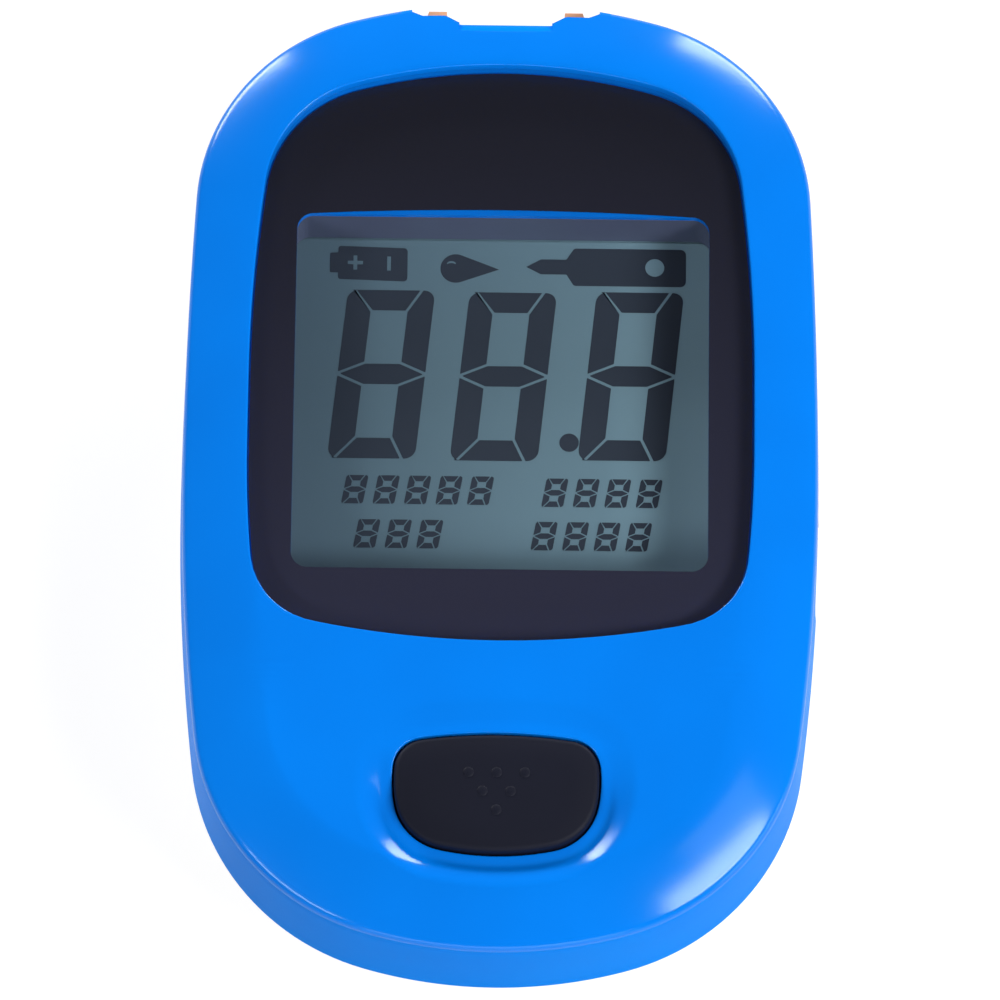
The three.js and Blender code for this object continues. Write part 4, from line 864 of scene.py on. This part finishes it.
port_low, port_high = port_box
guide_foot = 10.1 * mm
mouth = 4.6 * mm
mouth_depth = 1.85 * mm
mouth_draft = 0.1 * mm
prong_slant = Vector((0.5 * mm, 1.6 * mm))
right_side = [
    (mouth, port_high.y - mouth_depth),
    (mouth + mouth_draft, port_high.y),
    (port_high.x - prong_slant.x, port_high.y),
    (port_high.x, port_high.y - prong_slant.y),
    (port_high.x, port_low.y),
]
left_side = [(-x, y) for x, y in reversed(right_side)]
guide_rounds = [radius * mm for radius in (0.1, 0.2, 0.35, 0.4, 0.2)]
guide_plan = rounded(right_side[::-1] + left_side[::-1], guide_rounds[::-1] + guide_rounds)
slot_low, slot_high, slot_half = 12.6 * mm, 13.4 * mm, 3.65 * mm
funnel_back, funnel_front = port_high.y - 4.45 * mm, port_high.y - mouth_depth
funnel_rise, funnel_end = 1.2 * mm, funnel_front + 2 * mm
in_front = port_high.y + mm
funnel = [
    (funnel_back, slot_low),
    (funnel_end, slot_low),
    (funnel_end, slot_high + funnel_rise),
    (funnel_front, slot_high + funnel_rise),
    (funnel_back, slot_high),
]
tip_back, tip_drop = 0.75 * mm, 1.8 * mm
tip_slope = [
    (port_high.y - tip_back, port_high.z),
    (port_high.y, port_high.z - tip_drop),
    (in_front, port_high.z - tip_drop),
    (in_front, port_high.z + mm),
    (port_high.y - tip_back, port_high.z + mm),
]
lip_back, lip_level = port_high.y - 2.6 * mm, 15.6 * mm
port_guide = trimmed(
    prism("port_guide", guide_plan, guide_foot, port_high.z),
    [
        box("slot", (-slot_half, port_low.y - mm, slot_low), (slot_half, in_front, slot_high)),
        prism("funnel", funnel, -slot_half, slot_half, along_x),
        prism("tip_slope", tip_slope, port_low.x - mm, port_high.x + mm, along_x),
        box("lip_step", (-mouth, lip_back, lip_level), (mouth, in_front, port_high.z + mm)),
    ],
)
edging = port_guide.modifiers.new("edging", "BEVEL")
edging.width = 0.12 * mm
edging.segments = 2
edging.limit_method = "ANGLE"
edging.angle_limit = radians(50)
orange_colours = drift((255, 174, 122), (255, 190, 142))
orange_plastic = plastic(
    "orange_plastic", orange_colours, rough=0.4, spread=0.04, grain=6000, depth=0.006 * mm
)
dress(port_guide, orange_plastic)
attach(port_guide, "housing")
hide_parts("strip_port_guide")

# Rear shell
# The pale lower half, moulded in a satin plastic. It holds the cells' bay, the bosses for the screws and
# the rails of the battery cover, and its tongue fills the notch in the right flank.

rear_top = parting - 0.1 * mm
rear_inset = 0.35 * mm
rear_curve = [(6.7 * mm, 0), (4.7 * mm, 0), (3.5 * mm, 2.6 * mm)]
rear_steps = 12
rear_wall = 1.25 * mm
rear_peel = 0.7 * mm  # this much of the inner forms gives way to the skin


def rear_profile(depth, top=rear_top):
    """The insets and heights from the flat of the back up to the top, that deep under the surface"""
    points = []
    for step in range(rear_steps + 1):
        inset, height = on_curve(rear_curve, step / rear_steps)
        points.append((inset + depth, height + depth))
    return points + [(rear_inset + depth, top)]


def hull(name, profile):
    bm = bmesh.new()
    sleeve(bm, [[Vector((*plan(s, inset), z)) for s in stations] for inset, z in profile], True, True)
    return finished(bm, name, 30)


def skin(name, thickness):
    """The outer wall of the back, which ends just below the top of the inner forms"""
    top = rear_top - 0.01 * mm
    return hull(name, rear_profile(thickness, top) + rear_profile(0, top)[::-1])


def outside(name, depth):
    """All that lies less than that deep under the surface of the back"""
    top = rear_top + 0.05 * mm
    return hull(name, rear_profile(depth, top) + [(-mm, top), (-mm, -mm)])


def inside_of(node, depth):
    """The inner forms of a part, without its skin"""
    bm = bmesh.new()
    bm.from_mesh(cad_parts[node].data)
    return trimmed(finished(bm, node + "_inside", 30), [outside("peel", depth)], 30)


cover_half, cover_top, cover_wall = 11.2 * mm, 11.28 * mm, 1.3 * mm
wrap_edge, wrap_rise = -33.2 * mm, 4.07 * mm  # round the button's end the cover reaches higher
cover_gap = 0.14 * mm


def cover_zone(name, grow):
    """The room that the battery cover takes up in the back, grown all round"""
    shape = [
        (-beyond, -mm),
        (cover_top + grow, -mm),
        (cover_top + grow, cover_wall + grow),
        (wrap_edge + grow, cover_wall + grow),
        (wrap_edge + grow, wrap_rise + grow),
        (-beyond, wrap_rise + grow),
    ]
    return prism(name, shape, -cover_half - grow, cover_half + grow, along_x)


screw_places = in_mm([(12.5, 27.5), (-12.5, 27.5), (14.5, -23.5), (-14.5, -23.5)])
well_radius, well_depth = 2.26 * mm, 3 * mm
chip_room_low = (20.7 * mm, -1.86 * mm, 5.74 * mm)
chip_room_high = (beyond, 13.66 * mm, 20 * mm)
openings = [cover_zone("cover_opening", cover_gap), box("chip_opening", chip_room_low, chip_room_high)]
for index, (x, y) in enumerate(screw_places):
    openings.append(prism(f"screw_well_{index}", circle(x, y, well_radius, 48), -mm, well_depth))
rear_shell = trimmed(skin("rear_shell", rear_wall), openings, 30)
trimmed(rear_shell, [inside_of("rear_housing", rear_peel)], 30, "UNION")
pale_colours = drift((216, 220, 230), (226, 229, 238))
pale_plastic = plastic("pale_plastic", pale_colours, rough=0.42, spread=0.05, grain=6000, depth=0.01 * mm)
dress(rear_shell, pale_plastic)
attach(rear_shell, "housing")
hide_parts("rear_housing")

# Battery cover
# A slice of the back in the same plastic, with rounded grip grooves. Four hooked tabs hold it on the
# rails, and it slides towards the button's end to come off.

cover_skin = skin("cover_skin", 0.9 * mm)
trimmed(cover_skin, [cover_zone("cover_slice", -0.01 * mm)], 30, "INTERSECT")
battery_lid = trimmed(inside_of("battery_cover", 0.5 * mm), [cover_skin], 30, "UNION")
battery_lid.name = "battery_lid"
groove_count = 6
groove_start, groove_pitch = -25.5 * mm, 1.7 * mm
groove_half, groove_width, groove_depth = 6.5 * mm, 0.8 * mm, 0.35 * mm
groove_round = 0.39 * mm
grooves = []
for index in range(groove_count):
    y = groove_start + groove_pitch * index
    rim = rectangle(-groove_half, y, groove_half, y + groove_width)
    grooves.append(prism(f"grip_groove_{index}", rounded(rim, [groove_round] * 4, 6), -mm, groove_depth))
trimmed(battery_lid, grooves, 30)
dress(battery_lid, pale_plastic)
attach(battery_lid, "battery_cover")
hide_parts("battery_cover")

# Code chip
# The chip's pale handle fills an opening in the flank, with a groove for a fingernail. Its small board
# plugs into a socket with four sprung contacts.

chip_low, chip_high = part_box("code_chip_handle")
blade_low, blade_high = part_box("code_chip_board")
chip_round = 0.6 * mm
nail_half, nail_round, nail_depth = 0.55 * mm, 0.5 * mm, 0.75 * mm
nail_height = chip_high.z - 1.8 * mm
blade_gap = 0.05 * mm
chip_shape = rounded(rectangle(chip_low.y, chip_low.z, chip_high.y, chip_high.z), [chip_round] * 4, 6)
nail_rim = rectangle(blade_low.y, nail_height - nail_half, blade_high.y, nail_height + nail_half)
nail_shape = rounded(nail_rim, [nail_round] * 4, 6)
chip_grip = prism("chip_grip", chip_shape, chip_low.x, chip_high.x + mm, along_x)
body_form = hull("body_form", rear_profile(0) + [(0, parting), *flank_curve[:2]])
trimmed(chip_grip, [body_form], 30, "INTERSECT")
trimmed(
    chip_grip,
    [
        prism("nail_groove", nail_shape, chip_high.x - nail_depth, chip_high.x + mm, along_x),
        box(
            "blade_slot",
            (chip_low.x - mm, blade_low.y - blade_gap, blade_low.z - blade_gap),
            (blade_high.x + blade_gap, blade_high.y + blade_gap, blade_high.z + blade_gap),
        ),
    ],
    30,
)
dress(chip_grip, pale_plastic)
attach(chip_grip, "code_chip")
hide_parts("code_chip_handle")

# Inner parts
# Black moulded blocks, green boards, plated contacts, and steel screws, clips and cells. They show only
# when the meter is opened or the code chip is pulled out.

black_colours = drift((26, 26, 28), (36, 36, 39))
black_plastic = plastic(
    "black_plastic", black_colours, rough=0.55, spread=0.06, grain=5000, depth=0.01 * mm
)
green_colours = drift((24, 88, 52), (34, 112, 66))
green_board = plastic("green_board", green_colours, rough=0.35, spread=0.05, grain=3000, depth=0.01 * mm)
zebra_colours = drift((206, 164, 164), (222, 182, 180))
zebra_rubber = plastic("zebra_rubber", zebra_colours, rough=0.7, spread=0.06, grain=3000, depth=0.01 * mm)
silver_colours = drift((190, 194, 198), (204, 208, 212))
silver_film = plastic("silver_film", silver_colours, rough=0.3, spread=0.05, grain=3000, depth=0.004 * mm)


def metal(name, colours, rough):
    """A bright metal whose fine cloudy grain shows in its colour and its gloss"""
    material, nodes, links, shader = new_material(name)
    shader.inputs["Metallic"].default_value = 1
    grain = noise(nodes, links, 1500, 3)
    links.new(ramp(nodes, links, grain, colours), shader.inputs["Base Color"])
    links.new(level(nodes, links, grain, rough - 0.08, rough + 0.08), shader.inputs["Roughness"])
    return material


steel = metal("steel", drift((168, 172, 178), (196, 200, 204)), rough=0.3)
cell_steel = metal("cell_steel", drift((186, 188, 190), (208, 210, 212)), rough=0.25)
gold = metal("gold", drift((206, 164, 74), (228, 190, 104)), rough=0.28)
steel_names = ("board_screw", "housing_screw", "battery_negative", "battery_positive", "crystal_can")
steel_names += ("switch_dome",)
black_names = ("switch_stem", "switch_body", "strip_contact_block", "code_socket")
for name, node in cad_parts.items():
    if name.startswith(steel_names):
        dress(node, steel)
    elif name.startswith("coin_cell"):
        dress(node, cell_steel)
    elif name.endswith("_chip") or name in black_names:
        dress(node, black_plastic)
    elif name.startswith(("strip_contact_", "code_contact_")):
        dress(node, gold)
    elif name in ("main_board", "code_chip_board"):
        dress(node, green_board)
    elif name == "zebra_connector":
        dress(node, zebra_rubber)
    elif name == "lcd_reflector":
        dress(node, silver_film)

# Table, light and camera
# The meter lies on a white table under soft studio boxes, seen from the button's end. The table glows for
# the camera and for reflections alone, so it shows white and yet takes the meter's shadow.

bm = bmesh.new()
bmesh.ops.create_grid(bm, x_segments=1, y_segments=1, size=6000 * mm)
table = finished(bm, "table")
table_white, nodes, links, shader = new_material("table_white")
shader.inputs["Base Color"].default_value = (0.32, 0.32, 0.32, 1)
shader.inputs["Roughness"].default_value = 0.9
shader.inputs["Specular IOR Level"].default_value = 0
path = nodes.new("ShaderNodeLightPath")
seen = nodes.new("ShaderNodeMath")
seen.operation = "MAXIMUM"
links.new(path.outputs["Is Camera Ray"], seen.inputs[0])
links.new(path.outputs["Is Glossy Ray"], seen.inputs[1])
through = nodes.new("ShaderNodeMath")
through.operation = "MAXIMUM"
links.new(seen.outputs["Value"], through.inputs[0])
links.new(path.outputs["Is Transmission Ray"], through.inputs[1])
shader.inputs["Emission Color"].default_value = (1, 1, 1, 1)
links.new(level(nodes, links, through.outputs["Value"], 0, 0.8), shader.inputs["Emission Strength"])
dress(table, table_white)

world = bpy.data.worlds.new("studio")
world.use_nodes = True
nodes, links = world.node_tree.nodes, world.node_tree.links
where = nodes.new("ShaderNodeTexCoord")
height = nodes.new("ShaderNodeSeparateXYZ")
links.new(where.outputs["Object"], height.inputs["Vector"])
fade = nodes.new("ShaderNodeMapRange")
fade.inputs["From Max"].default_value = 0.15
fade.inputs["To Min"].default_value = 0.42
fade.inputs["To Max"].default_value = 0.12
links.new(height.outputs["Z"], fade.inputs["Value"])
links.new(fade.outputs["Result"], nodes["Background"].inputs["Strength"])
nodes["Background"].inputs["Color"].default_value = (1, 1, 1, 1)
bpy.context.scene.world = world


def softbox(name, way, distance, size, power, along=(0, 0, 1)):
    """A lamp that faces the meter from a way, its second size measured along another way"""
    lamp = bpy.data.lights.new(name, "AREA")
    lamp.shape = "RECTANGLE"
    lamp.size, lamp.size_y = size
    lamp.energy = power
    light = bpy.data.objects.new(name, lamp)
    facing = Vector(way).normalized()
    across = Vector(along).cross(facing).normalized()
    turn = Matrix((across, facing.cross(across), facing)).transposed().to_4x4()
    light.matrix_world = Matrix.Translation(facing * distance) @ turn
    bpy.context.scene.collection.objects.link(light)


softbox("low_left_box", (-0.58, 0.78, 0.255), 0.6, (0.24, 0.12), 2.2)
softbox("low_right_box", (0.43, 0.87, 0.255), 0.6, (0.22, 0.12), 1.7)
softbox("key_box", (0.625, -0.345, 0.705), 0.8, (0.42, 0.17), 4.2, along=(-0.42, 0.52, 0.51))
softbox("key_halo", (0.6, -0.15, 0.785), 0.85, (0.32, 0.22), 0.4, along=(-0.42, 0.52, 0.51))
softbox("left_box", (-0.6, -0.51, 0.62), 0.8, (0.4, 0.09), 1.6)
softbox("front_box", (0, -0.96, 0.26), 0.9, (0.7, 0.3), 1.8)
softbox("right_box", (0.92, -0.35, 0.17), 0.9, (0.5, 0.24), 1.2)

# A long lens looks down on the face from the button's end, turned a little as in the photograph
tilt = radians(20)
roll_turn = radians(0.7)
camera_distance = 700 * mm
aim = Vector((0, -0.52 * mm, 12 * mm))
picture_width = 1000 / 12.81 * mm  # at the aim, 12.81 pixels of the photograph show a millimetre
back = Vector((0, -sin(tilt), cos(tilt)))
level_right = Vector((1, 0, 0))
level_up = back.cross(level_right)
right = level_right * cos(roll_turn) + level_up * sin(roll_turn)
up = level_up * cos(roll_turn) - level_right * sin(roll_turn)
lens_data = bpy.data.cameras.new("camera")
lens_data.sensor_width = 36
lens_data.lens = lens_data.sensor_width * camera_distance / picture_width
camera = bpy.data.objects.new("camera", lens_data)
eye = aim + back * camera_distance
camera.matrix_world = Matrix.Translation(eye) @ Matrix((right, up, back)).transposed().to_4x4()
bpy.context.scene.collection.objects.link(camera)
bpy.context.scene.camera = camera
bpy.context.scene.view_settings.view_transform = "Standard"
